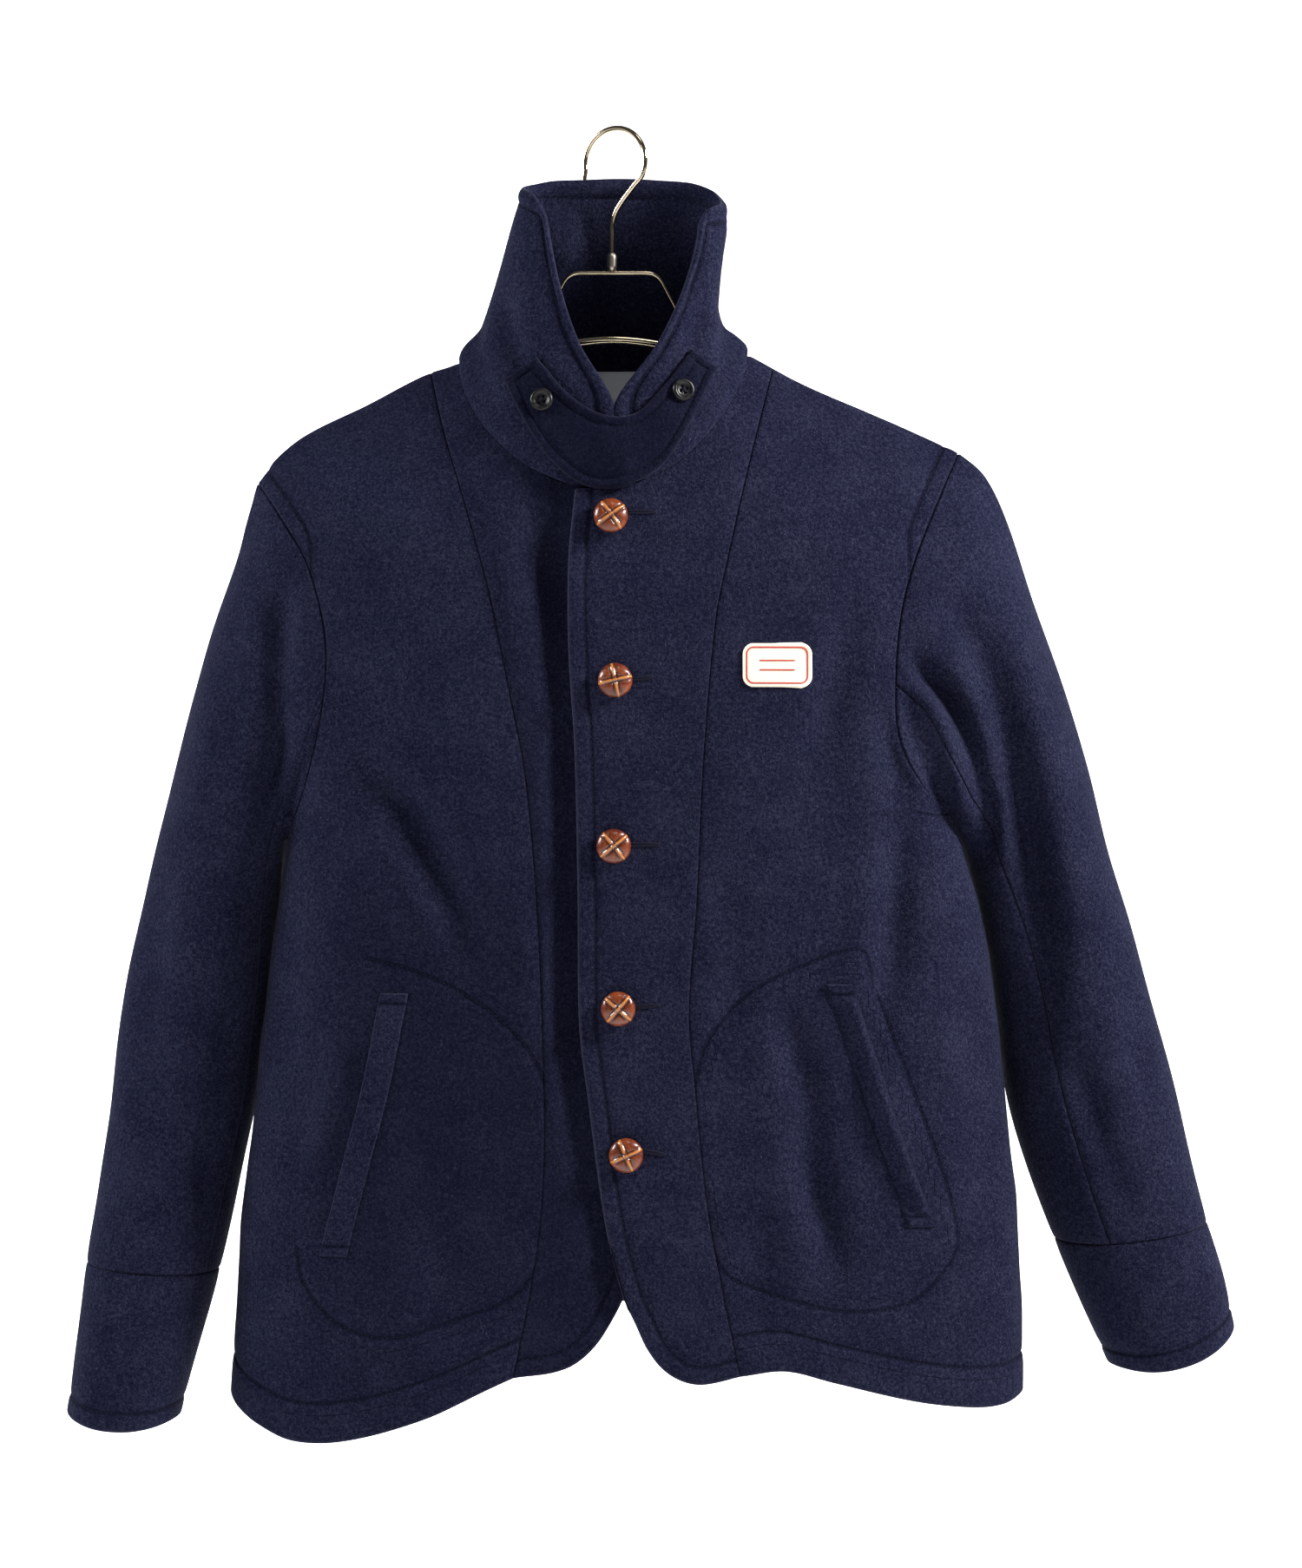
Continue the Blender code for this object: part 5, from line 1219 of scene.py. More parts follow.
def makeTab():
    across = np.linspace(0, 1, 300)
    upper, lower = alongCurve(tab["upper"], across), alongCurve(tab["lower"], across)
    outline = mixed(upper[None], lower[None], np.linspace(0, 1, 60)[:, None, None])
    flat, spots = np.concatenate([outline, np.zeros_like(outline[..., :1])], -1), tab["edgeMarks"]
    flat = respaced(flat, spots, spots, 86)
    flat = respaced(flat.transpose(1, 0, 2), spots, spots, 14).transpose(1, 0, 2)
    grid = laidGrid(flat[..., :2], 60)
    grid[..., 1] -= 0.5
    normal = facingNormals(grid, -1)
    run, down = runLengths(grid, 1), runLengths(grid, 0)
    edge = np.minimum(np.minimum(run, run[:, -1:] - run), np.minimum(down, down[-1:] - down))
    stitch = tab["stitch"]
    soft = 0.5 * bell(edge - 3.4, 2.6)
    rim = roundOff(edge, tab["rimRadius"], tab["rimRadius"])
    push = tab["thickness"] + soft + stitchSink(edge - stitch) + rim + clothWave(grid, 31, 0.35)
    wall = roundOff(edge, tab["rimRadius"], 1.7) + 0.4
    marks = {"stitch": stitchMark(np.abs(edge - stitch) + 1.0), "edge": edge,
             "shade": np.full(edge.shape, tab["shade"])}
    piece = makeCloth("throat_tab", grid, normal, push, wall, marks)
    outer = grid + normal * (push - 0.16)[..., None]
    column = int(np.abs(run.mean(0) - stitch).argmin())
    row = int(np.abs(down.mean(1) - stitch).argmin())
    last, foot = grid.shape[1] - 1 - column, grid.shape[0] - 1 - row
    ring = np.concatenate([outer[row, column:last], outer[row:foot, last], outer[foot, column:last + 1][::-1],
                           outer[row:foot + 1, column][::-1]])
    stitchPaths.append(ring)
    return piece


tabPiece = makeTab()


weltSections = {  # share across the welt, height over the cloth; its mouth is on the outer side
    "right": [(0, 2.0), (0.06, 2.9), (0.16, 3.1), (0.5, 2.6), (0.8, 1.6), (0.93, 0.9), (1, 0.2)],
    "left": [(0, 0.6), (0.08, -0.4), (0.2, -0.2), (0.42, 1.0), (0.62, 3.6), (0.8, 3.8), (0.93, 2.0),
             (1, 0.3)],
}


def makeWelt(side):
    line = alongCurve(pockets["welt" + side.capitalize()], np.linspace(0, 1, 160))
    width = pockets["weltWidth"] / 2
    shares = np.concatenate([np.linspace(0, 0.2, 9), np.linspace(0.2, 0.8, 15)[1:-1], np.linspace(0.8, 1, 9)])
    outline = np.stack([line[:, None, 0] + width * (2 * shares[None] - 1),
                        np.repeat(line[:, None, 1], len(shares), 1)], -1)
    grid = laidGrid(outline, 25)
    across, down = runLengths(grid, 1), runLengths(grid, 0)
    rim, fromEnds = np.minimum(across, across[:, -1:] - across), np.minimum(down, down[-1:] - down)
    height = mixed(1.5, readTable(weltSections[side], 1, shares)[None, :], smoothStep((fromEnds - 5) / 12))
    tack = fromEnds - pockets["weltTack"]
    height = height - 0.9 * bell(tack, 1.3) + roundOff(fromEnds, 1.2, 1.3) + 0.35 + roundOff(rim, 1.2, 1.0)
    lines = [tack, rim - 0.4 if side == "left" else np.full(down.shape, cloth["stitchReach"])]
    marks = {"stitch": stitchMark(nearestLine(lines)), "edge": np.minimum(rim, fromEnds) + 1.2}
    makeCloth("pocket_welt_" + side, grid, facingNormals(grid, -1), height, np.full(down.shape, 0.6), marks)


for side in ("right", "left"):
    makeWelt(side)

patch = {
    "centre": (106, -353),
    "size": (44, 28),
    "corner": 7,
    "thickness": 1.3,
    "border": 2.6,
    "borderWire": 0.5,
    "bars": (-3.0, 3.0),
    "barHalf": 11,
    "barWire": 0.45,
}


def roundedGrid(centre, size, corner, columns, rows):
    # a rectangle with rounded corners, closer points towards its edges
    drops = np.sin(np.linspace(-math.pi / 2, math.pi / 2, rows)) * size[1] / 2
    beyond = np.maximum(np.abs(drops) - (size[1] / 2 - corner), 0)
    halves = size[0] / 2 - corner + np.sqrt(np.maximum(corner ** 2 - beyond ** 2, 0))
    across = np.sin(np.linspace(-math.pi / 2, math.pi / 2, columns))
    x, z = halves[:, None] * across[None], np.repeat(centre[1] - drops[:, None], columns, 1)
    return np.stack([centre[0] + x, z], -1)


def makePatch():
    outline = roundedGrid(patch["centre"], patch["size"], patch["corner"], 60, 44)
    grid = laidGrid(outline, 12)
    normal = facingNormals(grid, -1)
    x, z = np.abs(grid[..., 0] - patch["centre"][0]), np.abs(grid[..., 2] - patch["centre"][1])
    corner, halfX, halfZ = patch["corner"], patch["size"][0] / 2, patch["size"][1] / 2
    outX, outZ = np.maximum(x - halfX + corner, 0), np.maximum(z - halfZ + corner, 0)
    edge = corner - np.hypot(outX, outZ)
    edge = np.where((outX == 0) | (outZ == 0), np.minimum(halfX - x, halfZ - z), edge)
    push = patch["thickness"] + 0.35 * bell(edge - 0.9, 0.9) + roundOff(np.maximum(edge, 0), 0.7, 0.7)
    outer, inner = grid + normal * push[..., None], grid + normal * 0.1
    flip = (np.cross(np.gradient(grid, axis=1), np.gradient(grid, axis=0)) * normal).sum() > 0
    if flip:
        outer, inner = outer[::-1], inner[::-1]
    piece = wallMesh("chest_patch_cloth", outer, inner, {})
    settle(piece, finishes["patch"], "patch", "chest_patch")
    size = [value * mm for value in patch["size"]]
    0.96 * size[0] * size[1]
    return [treeOf(piece)]


patchTree = makePatch()

label = {"centre": (3, -171), "size": (62, 35), "thickness": 0.8, "hem": 2.0}


def makeLabel():
    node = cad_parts["neck_label"]
    corners = [node.matrix_world @ v.co / mm for v in node.data.vertices]
    tree = BVHTree.FromPolygons(corners, [tuple(f.vertices) for f in node.data.polygons])
    outline = roundedGrid(label["centre"], [value - 0.4 for value in label["size"]], 0.01, 40, 26)
    y = np.zeros(outline.shape[:2])
    for place in np.ndindex(y.shape):
        hit = tree.ray_cast(Vector((outline[place][0], -40, outline[place][1])), Vector((0, 1, 0)))[0]
        y[place] = hit.y if hit is not None else np.nan
    y = np.where(np.isnan(y), np.nanmean(y, axis=0, keepdims=True), y)
    y += 0.35 * np.sin(outline[..., 0] / 9) * np.sin((outline[..., 1] - label["centre"][1]) / 12)
    grid = np.stack([outline[..., 0], y, outline[..., 1]], -1)
    inner = grid + np.array([0, label["thickness"], 0])
    edge = np.minimum(label["size"][0] / 2 - np.abs(grid[..., 0] - label["centre"][0]),
                      label["size"][1] / 2 - np.abs(grid[..., 2] - label["centre"][1]))
    grid[..., 1] += 0.4 * bell(edge - label["hem"], 0.5)
    if np.cross(grid[0, 1] - grid[0, 0], grid[1, 0] - grid[0, 0])[1] < 0:
        grid, inner = grid[::-1], inner[::-1]
    piece = wallMesh("neck_label_tape", grid, inner, {})
    settle(piece, finishes["label"], "label", "neck_label")


makeLabel()
print("laid pieces made")


# Buttons

buttons = {
    "places": [(0, -258), (3, -363), (2, -468), (5, -571), (10, -664)],
    "turns": [38, 12, 40, 48, 22],
    "radius": 10.9,
    "height": 8.5,
    "lift": 0.6,
    "strap": 0.85,          # the straps' half width
    "strapRise": 0.75,
    "creaseDepth": 0.55,
    "creaseGap": 1.7,       # from a strap's middle to the crease beside it
    "cushion": 0.55,        # how far the leather swells between the straps
    "rim": [(1.0, 2.2), (0.97, 1.2), (0.86, 0.4), (0.6, 0.1)],
}


def buttonSpot(trees, spot):
    # where a button sits on the cloth, which way it faces, and the turn that lays it there
    met = castFrom(trees, *spot)
    facing = -met[1] if met[1].y > 0 else met[1]
    return met[0], facing, Vector((0, 0, 1)).rotation_difference(facing)


def ringsBelow(radius, turn, steps):
    # the rim and the underside: each step is a share of the radius and a height
    across, along = np.cos(turn) * radius, np.sin(turn) * radius
    return [np.stack([across * share, along * share, np.full_like(turn, level)], -1)
            for share, level in steps]


def roundPiece(name, rings, foot, centre, spin, marks=None):
    # rings of points from the middle of the top, out and round to the middle underneath
    rows, columns = rings.shape[:2]
    points = [rings[0, 0], *rings[1:].reshape(-1, 3), foot]
    placed = np.array([list(centre + spin @ Vector(point)) for point in points])

    def number(row, column):
        return 1 + (row - 1) * columns + column % columns

    faces = []
    for column in range(columns):
        after = column + 1
        faces.append((0, number(1, column), number(1, after)))
        faces.append((number(rows - 1, column), len(placed) - 1, number(rows - 1, after)))
        for row in range(1, rows - 1):
            faces.append((number(row, column), number(row + 1, column),
                          number(row + 1, after), number(row, after)))
    full = {}
    for label, values in (marks or {}).items():
        below = np.zeros((rows - len(values)) * columns + 1)
        full[label] = np.concatenate([values[0, :1], values[1:].ravel(), below])
    return addMesh(name, placed, faces, full)


def makeLeatherButton(index):
    spot, _, spin = buttonSpot(frontTrees, buttons["places"][index])
    turnBy = math.radians(buttons["turns"][index])
    radius, height = buttons["radius"], buttons["height"]
    reach = np.linspace(0, 1, 34)[:, None] ** 0.8
    turn = np.linspace(0, 2 * math.pi, 96, endpoint=False)[None, :]
    u, v = reach * np.cos(turn), reach * np.sin(turn)
    dome = np.sqrt(np.maximum(1 - (reach * 0.985) ** 2.3, 0)) + 0 * turn
    a, b = u * math.cos(turnBy) + v * math.sin(turnBy), v * math.cos(turnBy) - u * math.sin(turnBy)
    # two straps cross over the dome, the second one on top
    under, over = bell(a * radius, buttons["strap"]), bell(b * radius, buttons["strap"])
    under = under * (1 - 0.8 * bell(b * radius, 2.2))
    quarter = np.minimum(np.abs(a), np.abs(b)) * radius
    cushion = buttons["cushion"] * smoothStep((quarter - 1.2) / 3.0) * (1 - reach ** 3)
    beside = sum(bell(np.abs(way) * radius - buttons["creaseGap"], 0.5) for way in (a, b))
    crease = np.clip(beside, 0, 1) * (1 - reach ** 4) * (1 - np.clip(under + over, 0, 1) * 0.7)
    straps = buttons["strapRise"] * np.maximum(under, over) * (1 - reach ** 6)
    top = 3.2 + (height - 3.6) * dome + cushion + straps - buttons["creaseDepth"] * crease
    rings = np.concatenate([np.stack([u * radius, v * radius, top], -1)]
                           + ringsBelow(radius, turn, buttons["rim"]))
    marks = {"raised": np.clip(np.maximum(under, over) * 1.1 - crease, 0, 1), "groove": crease}
    name = f"button_{index + 1}"
    centre = spot - Vector((0, buttons["lift"], 0))
    piece = roundPiece(name + "_dome", rings, (0, 0, 0.1), centre, spin, marks)
    settle(piece, finishes["leather"], "leather", name)


for index in range(len(buttons["places"])):
    makeLeatherButton(index)

tabButton = {
    "radius": 7.5,
    "hole": 0.85,
    "offset": 1.55,
    "lift": 0.3,
    "profile": [(0, 1.9), (0.3, 1.95), (0.52, 2.2), (0.66, 2.9), (0.78, 3.25), (0.9, 2.95), (0.97, 2.3),
                (1, 1.7)],
    "holeDepth": 1.7,
    "rim": [(0.97, 0.9), (0.85, 0.3), (0.5, 0.0)],
    "thread": 0.34,
}


def makeTabButton(name, place):
    spot, facing, spin = buttonSpot([treeOf(tabPiece)], place)
    centre = spot + facing * tabButton["lift"]
    radius, off = tabButton["radius"], tabButton["offset"]
    reach = np.concatenate([np.linspace(0, 0.62, 30), np.linspace(0.62, 1, 16)[1:]])[:, None]
    turn = np.linspace(0, 2 * math.pi, 96, endpoint=False)[None, :]
    u, v = reach * radius * np.cos(turn), reach * radius * np.sin(turn)
    nearHole = np.hypot(np.abs(u) - off, np.abs(v) - off)
    inHole = smoothStep((tabButton["hole"] + 0.25 - nearHole) / 0.4)
    top = readTable(tabButton["profile"], 1, reach) - tabButton["holeDepth"] * inHole
    rings = np.concatenate([np.stack([u, v, top], -1)] + ringsBelow(radius, turn, tabButton["rim"]))
    piece = roundPiece(name + "_disc", rings, (0, 0, 0), centre, spin)
    settle(piece, finishes["horn"], "horn", name)
    # the thread that holds it, crossing between the holes
    out = off * 1.05
    for index, way in enumerate((-1, 1)):
        middle, slope = 2.45 + 0.2 * way, 2.3 + 0.15 * way
        arch = [(-1, 0.6), (-0.55, slope), (0, middle), (0.55, slope), (1, 0.6)]
        ends = [centre + facing * level + spin @ Vector((side * out, side * way * out, 0))
                for side, level in arch]
        path = alongCurve([tuple(point) for point in ends], np.linspace(0, 1, 20))
        tube(f"{name}_thread_{index + 1}", path, tabButton["thread"], finishes["thread"], "melton", 8)


def tube(name, path, radius, finish, slotName, sides, *nodes):
    # a round bar with domed ends, through the points of a path
    points = np.array(path, float)
    tangent = unit(np.gradient(points, axis=0))
    side = np.zeros_like(points)
    side[0] = np.cross(tangent[0], [0.1, 1, 0.05])
    for index in range(len(points)):
        previous = side[max(index - 1, 0)]
        side[index] = unit(previous - tangent[index] * (previous @ tangent[index]))
    other = np.cross(tangent, side)
    turn = np.linspace(0, 2 * math.pi, sides, endpoint=False)
    domes = [(0.35, 0.9), (0.8, 0.55)]      # share of the radius, how far beyond the end
    rings = [(points[0] - tangent[0] * radius * beyond, side[0], other[0], share) for share, beyond in domes]
    rings += [(p, s, o, 1.0) for p, s, o in zip(points, side, other)]
    rings += [(points[-1] + tangent[-1] * radius * beyond, side[-1], other[-1], share)
              for share, beyond in domes[::-1]]
    placed = []
    for centre, s, o, share in rings:
        placed += list(centre + radius * share * (np.cos(turn)[:, None] * s + np.sin(turn)[:, None] * o))
    placed = np.array(placed + [points[0] - tangent[0] * radius, points[-1] + tangent[-1] * radius])
    count = len(rings)
    faces = []
    for index in range(sides):
        after = (index + 1) % sides
        faces.append((after, index, count * sides))
        faces.append(((count - 1) * sides + index, (count - 1) * sides + after, count * sides + 1))
        for low in range(0, (count - 1) * sides, sides):
            faces.append((low + index, low + after, low + sides + after, low + sides + index))
    settle(addMesh(name + "_bar", placed, faces), finish, slotName, *nodes)


for name, spot in tab["buttons"].items():
    makeTabButton(name, spot)
print("buttons made")


# Buttonholes: a short slit with corded edges

holes = {
    "starts": [(9, -255), (13, -362), (11, -467), (14, -570), (20, -661)],
    "ends": [(29, -255), (27, -361), (31, -467), (31, -569), (35, -664)],
    "cord": 0.75,
    "gap": 0.75,
}


def makeButtonholes():
    for index, (start, end) in enumerate(zip(holes["starts"], holes["ends"])):
        line = []
        for share in np.linspace(0, 1, 26):
            turn = share * 2 * math.pi
            along = 0.5 - 0.5 * math.cos(turn)
            across = holes["gap"] * math.sin(turn) * (1.0 + 0.9 * smoothStep((0.25 - along) / 0.2))
            x = mixed(start[0], end[0], along)
            z = mixed(start[1], end[1], along) + across
            met = castFrom(frontTrees, x, z)
            line.append((x, met[0].y - 0.15, z))
        tube(f"buttonhole_{index + 1}", line, holes["cord"], finishes["thread"], "melton", 10)


makeButtonholes()


# Stitches, laid along their lines by Geometry Nodes

stitches = {
    "pitch": 3.3,
    "length": 2.4,
    "radius": 0.30,
    "lift": -0.08,          # they sink a little into the cloth
    "underlapTop": -690.0,
}


def onCloth(line, trees, lift=stitches["lift"], fromBack=False):
    made = []
    for x, z in line:
        met = castFrom(trees, x, z, fromBack)
        if met is not None:
            made.append(np.array(met[0]) + np.array([0, lift if fromBack else -lift, 0]))
    return np.array(made)


def offsetLine(line, gap):
    # the same line, moved sideways
    way = unit(np.gradient(line, axis=0))
    return line + np.stack([way[:, 1], -way[:, 0]], -1) * gap


def addPanelStitches():
    left = offsetLine(outlines["front_centre_left"], -cloth["edgeStitch"])
    stitchPaths.append(onCloth(left[2:-1], [treeOf(panels["front_centre_left"])]))
    right = offsetLine(outlines["front_centre_right"], cloth["edgeStitch"])
    low = [point for point in right if point[1] < stitches["underlapTop"]]
    stitchPaths.append(onCloth(low, [treeOf(panels["front_centre_right"])]))
    for side in ("Right", "Left"):
        stitchPaths.append(onCloth(alongCurve(pockets["bag" + side], np.linspace(0, 1, 240)), frontTrees))
    for name in ("front_side_right", "front_side_left", "back"):
        grid, trees, isBack = base[name], [treeOf(panels[name])], name == "back"
        across, down = runLengths(grid, 1), runLengths(grid, 0)
        row = int(np.abs((down[-1:] - down).mean(1) - cloth["hemStitch"]).argmin())
        stitchPaths.append(onCloth(grid[row][2:-2, [0, 2]], trees, fromBack=isBack))
        ends = [across] if name != "front_side_left" else []
        ends += [across[:, -1:] - across] if name != "front_side_right" else []
        for end in ends:
            line = []
            for row in range(3, len(grid)):
                z = grid[row, int(np.abs(end[row] - cloth["armholeStitch"]).argmin()), 2]
                if z > cloth["armholeStitchEnd"] + 6:
                    order = np.argsort(end[row])
                    line.append([np.interp(armholeBand(z), end[row][order], grid[row, order, axis])
                                 for axis in (0, 2)])
            stitchPaths.append(onCloth(line, trees, fromBack=isBack))


addPanelStitches()


def stitchTree():
    # long beads, one for each stitch, set along a curve
    tree = bpy.data.node_groups.new("stitchRow", "GeometryNodeTree")
    face = tree.interface
    sockets = {"Geometry": face.new_socket("Geometry", in_out="INPUT", socket_type="NodeSocketGeometry")}
    for label in ("pitch", "length", "radius"):
        socket = face.new_socket(label, in_out="INPUT", socket_type="NodeSocketFloat")
        socket.default_value = stitches[label] * mm
        sockets[label] = socket
    sockets["finish"] = face.new_socket("finish", in_out="INPUT", socket_type="NodeSocketMaterial")
    face.new_socket("Geometry", in_out="OUTPUT", socket_type="NodeSocketGeometry")

    def node(kind, settings, values):
        made = tree.nodes.new(kind)
        for key, value in settings.items():
            setattr(made, key, value)
        for key, value in values.items():
            if isinstance(value, bpy.types.NodeSocket):
                tree.links.new(value, made.inputs[key])
            else:
                made.inputs[key].default_value = value
        return made

    entry = node("NodeGroupInput", {}, {}).outputs
    points = node("GeometryNodeCurveToPoints", {"mode": "LENGTH"},
                  {"Curve": entry["Geometry"], "Length": entry["pitch"]}).outputs
    ball = node("GeometryNodeMeshUVSphere", {}, {"Segments": 6, "Rings": 4, "Radius": 1.0}).outputs["Mesh"]
    longHalf = node("ShaderNodeMath", {"operation": "MULTIPLY"}, {0: entry["length"], 1: 0.5}).outputs[0]
    size = node("ShaderNodeCombineXYZ", {}, {0: entry["radius"], 1: entry["radius"], 2: longHalf}).outputs[0]
    shape = node("GeometryNodeTransform", {}, {"Geometry": ball, "Scale": size}).outputs[0]
    turn = node("FunctionNodeAlignRotationToVector", {"axis": "Z"}, {"Vector": points["Tangent"]}).outputs[0]
    laid = node("GeometryNodeInstanceOnPoints", {}, {"Points": points["Points"], "Instance": shape,
                                                    "Rotation": turn}).outputs[0]
    real = node("GeometryNodeRealizeInstances", {}, {"Geometry": laid}).outputs[0]
    smooth = node("GeometryNodeSetShadeSmooth", {}, {"Geometry": real}).outputs[0]
    done = node("GeometryNodeSetMaterial", {}, {"Geometry": smooth, "Material": entry["finish"]}).outputs[0]
    node("NodeGroupOutput", {}, {"Geometry": done})
    return tree, sockets


def sewLines(name, paths, finish, slotName):
    # every stitch line as one mesh, made by the tree and then taken off it
    curve = bpy.data.curves.new(name + "_line", "CURVE")
    curve.dimensions = "3D"
    for path in paths:
        spline = curve.splines.new("POLY")
        spline.points.add(len(path) - 1)
        spline.points.foreach_set("co", np.concatenate([path * mm, np.ones((len(path), 1))], 1).ravel())
    line = bpy.data.objects.new(name + "_line", curve)
    bpy.context.collection.objects.link(line)
    tree, sockets = stitchTree()
    modifier = line.modifiers.new("stitchRow", "NODES")
    modifier.node_group = tree
    modifier[sockets["finish"].identifier] = finish
    ready = line.evaluated_get(bpy.context.evaluated_depsgraph_get())
    mesh = bpy.data.meshes.new_from_object(ready)
    mesh.name = name
    piece = bpy.data.objects.new(name, mesh)
    bpy.context.collection.objects.link(piece)
    bpy.data.objects.remove(line)
    settle(piece, finish, slotName)
    print(name, len(mesh.polygons))


sewLines("topstitching", stitchPaths, finishes["thread"], "melton")


def patchBorder():
    # the patch's raised border and its two plain bars
    (middleX, middleZ), inset = patch["centre"], patch["border"]
    corner = patch["corner"] - inset
    halfX, halfZ = patch["size"][0] / 2 - inset - corner, patch["size"][1] / 2 - inset - corner
    outline = []
    for signX, signZ, start in ((1, 1, 0), (-1, 1, 90), (-1, -1, 180), (1, -1, 270)):
        for angle in np.radians(np.linspace(start, start + 90, 10)):
            outline.append((middleX + signX * halfX + corner * math.cos(angle),
                            middleZ + signZ * halfZ + corner * math.sin(angle)))
    ring = alongCurve(outline + outline[:1], np.linspace(0, 1, 160))
    lines = [("patch_border", ring, patch["borderWire"])]
    for index, drop in enumerate(patch["bars"]):
        bar = [(middleX + x, middleZ + drop) for x in np.linspace(-patch["barHalf"], patch["barHalf"], 24)]
        lines.append((f"patch_bar_{index + 1}", bar, patch["barWire"]))
    for name, line, wire in lines:
        tube(name, onCloth(line, patchTree, 0.1), wire, finishes["redThread"], "patch", 8)


patchBorder()
print("stitches made")


# Hanger

hanger = {
    "hookWire": 1.75, "hookTurn": 28.0, "hookRadius": 22.5, "hookCentre": 2.2, "hookArc": (-28, 190),
    "hookTail": 9.0, "stem": [(0, -80.6), (0, -70), (0, -62), (2.5, -54), (9, -45), (16.5, -37)],
    "ferruleRadius": 3.3, "ferruleSpan": (-91.4, -81.0), "frameWire": 1.5,
    "frameTop": -93.1, "frameHalfTop": 27.0, "frameLeg": 27.5, "frameCorner": 8.0, "frameCentre": 0.8,
    "barRadius": 2.6, "barReach": 196.0, "barDrop": 6.9,
    "barArch": [(-99, -158.6), (-84, -153), (-52, -143.5), (-21, -138.5), (3, -136.8), (29, -139.5),
                (60, -146.5), (78, -151.5), (90, -154.5)],
}


def barZ(x):
    # the shoulder bar follows the ridge under the cloth, and its own arch in the open neck
    arch = hanger["barArch"]
    onArch = (x >= arch[0][0]) & (x <= arch[-1][0])
    return np.where(onArch, readTable(arch, 1, x), ridgeZ(x) - hanger["barDrop"])


def makeHanger():
    def wire(name, path, radius, sides, finish="chrome"):
        tube(name, path, radius, finishes[finish], "hanger", sides, name)

    radius, bar = hanger["hookRadius"], hanger["barRadius"]
    centreX, centreZ = hanger["hookCentre"], hanger["hookWire"] - radius
    loop = [(centreX + radius * math.cos(angle), centreZ + radius * math.sin(angle))
            for angle in np.radians(np.linspace(*hanger["hookArc"], 19))]
    tail = [(loop[-1][0] - 0.8, loop[-1][1] - hanger["hookTail"] * share) for share in (0.5, 1.0)]
    line = alongCurve(hanger["stem"] + loop + tail, np.linspace(0, 1, 130))
    turn = math.radians(hanger["hookTurn"])
    path = np.stack([line[:, 0] * math.cos(turn), -line[:, 0] * math.sin(turn), line[:, 1]], -1)
    wire("hanger_hook", path, hanger["hookWire"], 24)
    foot, head = hanger["ferruleSpan"]
    path = [(0, 0, z) for z in np.linspace(foot + 1.6, head - 1.6, 8)]
    wire("hanger_ferrule", path, hanger["ferruleRadius"], 32, "satin")
    x = np.linspace(-hanger["barReach"], hanger["barReach"], 240)
    wire("hanger_bar", np.stack([x, 0 * x, barZ(x)], -1), bar, 24)
    # the frame's wire: up from the bar, round a corner, across under the ferrule and down again
    halves, middle = [], hanger["frameCentre"]
    legX = hanger["frameHalfTop"] + hanger["frameLeg"]
    corner = np.array([hanger["frameHalfTop"] + 2.0, hanger["frameTop"]])
    for side in (-1, 1):
        leg = np.array([legX, float(barZ(np.array(middle + side * legX))) + bar + 1.4])
        bendStart = corner - np.array([hanger["frameCorner"], 0])
        bendEnd = corner + (leg - corner) / np.linalg.norm(leg - corner) * hanger["frameCorner"]
        line = [mixed(leg, bendEnd, share) for share in np.linspace(0, 1, 20)[:-1]]
        line += [mixed(mixed(bendEnd, corner, t), mixed(corner, bendStart, t), t)
                 for t in np.linspace(0, 1, 18)]
        halves.append([(middle + side * px, 0.0, pz) for px, pz in line])
    wire("hanger_frame", halves[0] + halves[1][::-1], hanger["frameWire"], 20)


makeHanger()
print("hanger made")


# Stage, light and camera

stage = {  # in metres
    "wallY": 3.3, "wallTop": 2.6, "floorZ": -1.8, "bend": 0.10, "reach": 9.0,
    "tone": (0.90, 0.90, 0.90, 1), "glow": 0.80, "sky": (0.93, 0.96, 1.0, 1), "skyStrength": 0.10,
}


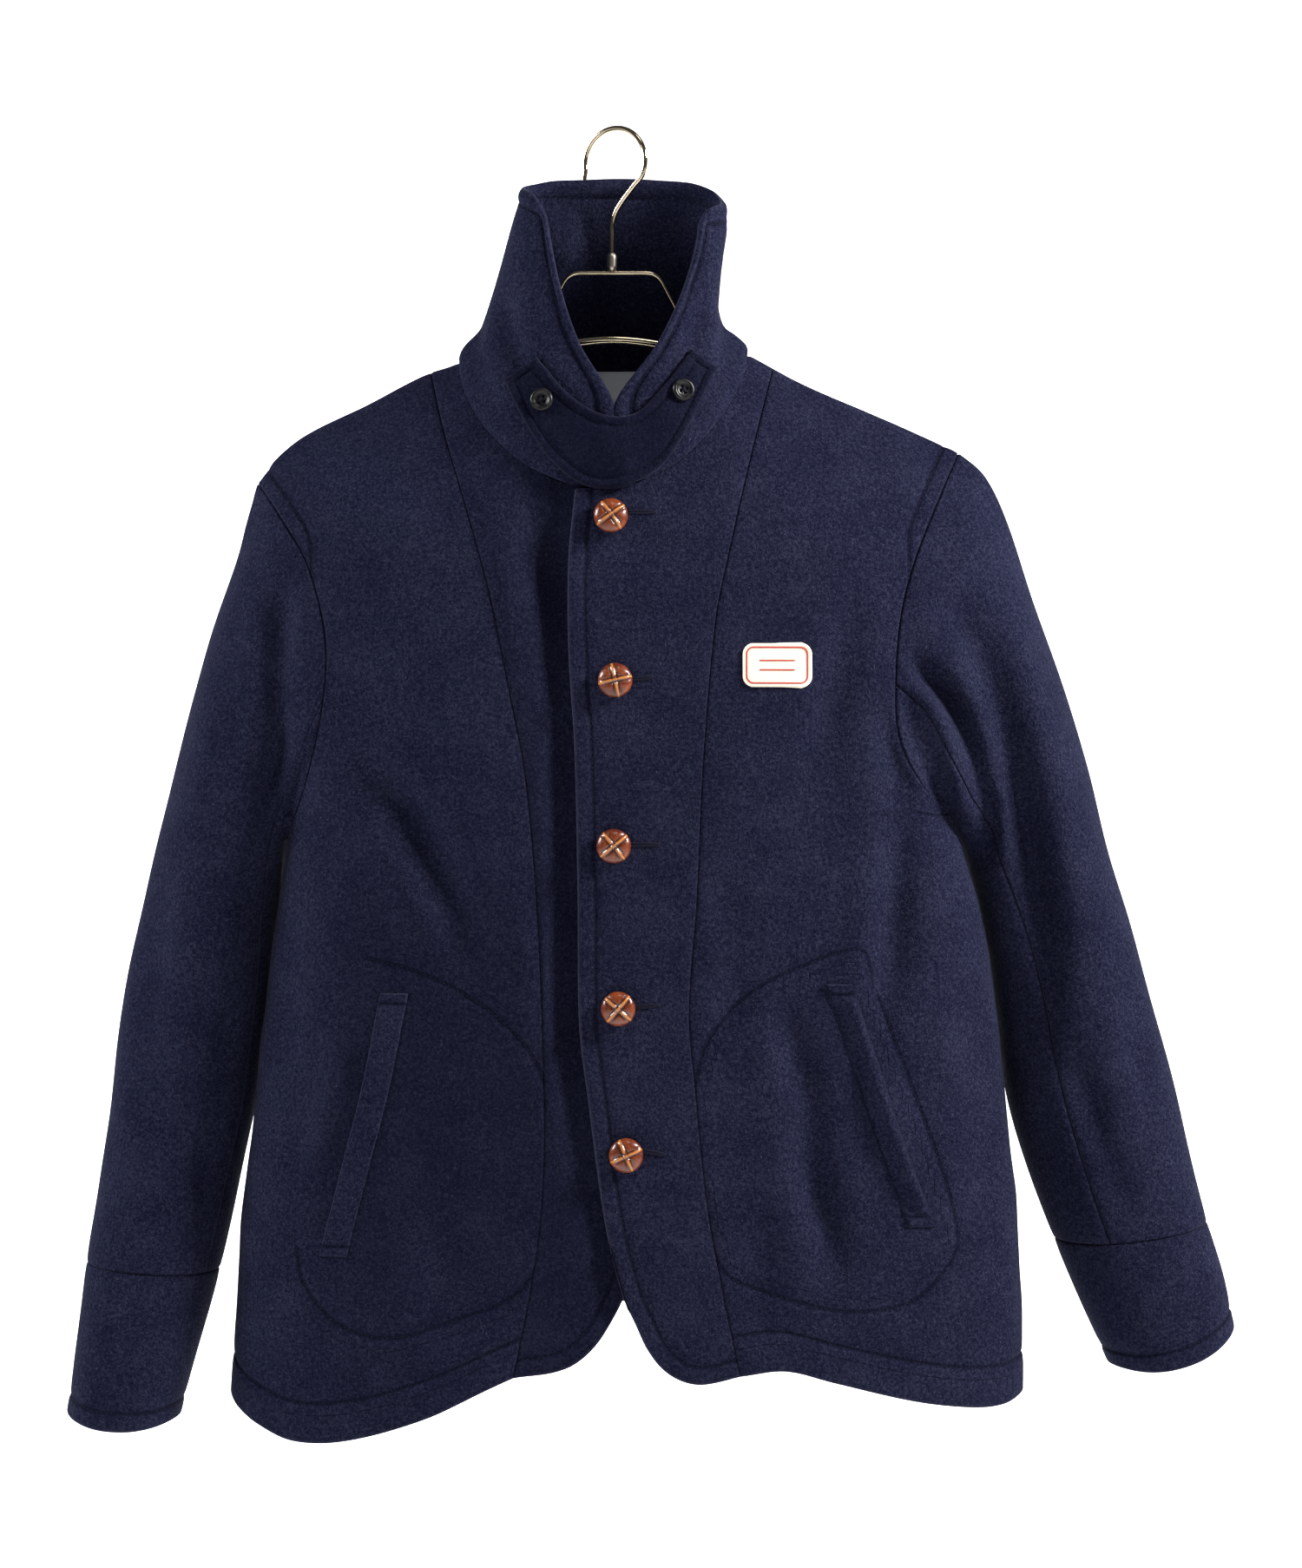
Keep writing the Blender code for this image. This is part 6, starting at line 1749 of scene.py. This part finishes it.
def makeStage():
    line = [(-stage["reach"], stage["floorZ"]), (stage["wallY"] - stage["bend"], stage["floorZ"])]
    for angle in np.radians(np.linspace(-90, 0, 16))[1:]:
        line.append((stage["wallY"] - stage["bend"] + stage["bend"] * math.cos(angle),
                     stage["floorZ"] + stage["bend"] + stage["bend"] * math.sin(angle)))
    line.append((stage["wallY"], stage["wallTop"]))
    points = [(x, y, z) for y, z in line for x in (-stage["reach"], stage["reach"])]
    mesh = bpy.data.meshes.new("studioSweep")
    mesh.from_pydata(points, [], [(2 * i, 2 * i + 1, 2 * i + 3, 2 * i + 2) for i in range(len(line) - 1)])
    mesh.shade_smooth()
    sweep = bpy.data.objects.new("studioSweep", mesh)
    bpy.context.collection.objects.link(sweep)
    mesh.materials.append(plainFinish("studioPaper", stage["tone"], 0.9, stage["glow"]))


lights = [  # place, aim, size, watts, colour
    ((2.05, -0.62, 0.90), (0, 0, -0.45), 0.6, 160, (1.0, 0.985, 0.965)),
    ((-2.0, -0.34, 0.55), (0, 0, -0.45), 0.8, 66, (0.97, 0.985, 1.0)),
    ((0.3, -1.1, 1.7), (0, 0, -0.30), 0.6, 6, (1.0, 1.0, 1.0)),
]


def makeLights():
    for index, (place, aim, size, watts, colour) in enumerate(lights):
        lamp = bpy.data.lights.new(f"softbox{index + 1}", "AREA")
        lamp.shape, lamp.size, lamp.energy, lamp.color = "SQUARE", size, watts, colour
        holder = bpy.data.objects.new(lamp.name, lamp)
        holder.location = place
        holder.rotation_euler = (Vector(aim) - Vector(place)).to_track_quat("-Z", "Y").to_euler()
        bpy.context.collection.objects.link(holder)
    world = bpy.data.worlds.new("studio")
    world.use_nodes = True
    sky = world.node_tree.nodes["Background"].inputs
    sky["Color"].default_value, sky["Strength"].default_value = stage["sky"], stage["skyStrength"]
    bpy.context.scene.world = world


view = {"place": (0.0257, -2.3, -0.4286), "lens": 96.84, "sensor": 36.0}


def makeCamera():
    lens = bpy.data.cameras.new("camera")
    lens.lens, lens.sensor_width, lens.sensor_fit = view["lens"], view["sensor"], "HORIZONTAL"
    camera = bpy.data.objects.new("camera", lens)
    camera.location = view["place"]
    camera.rotation_euler = (math.radians(90), 0, 0)
    bpy.context.collection.objects.link(camera)
    bpy.context.scene.camera = camera
    bpy.context.scene.view_settings.view_transform = "Standard"


makeStage()
makeLights()
makeCamera()

print("all made")
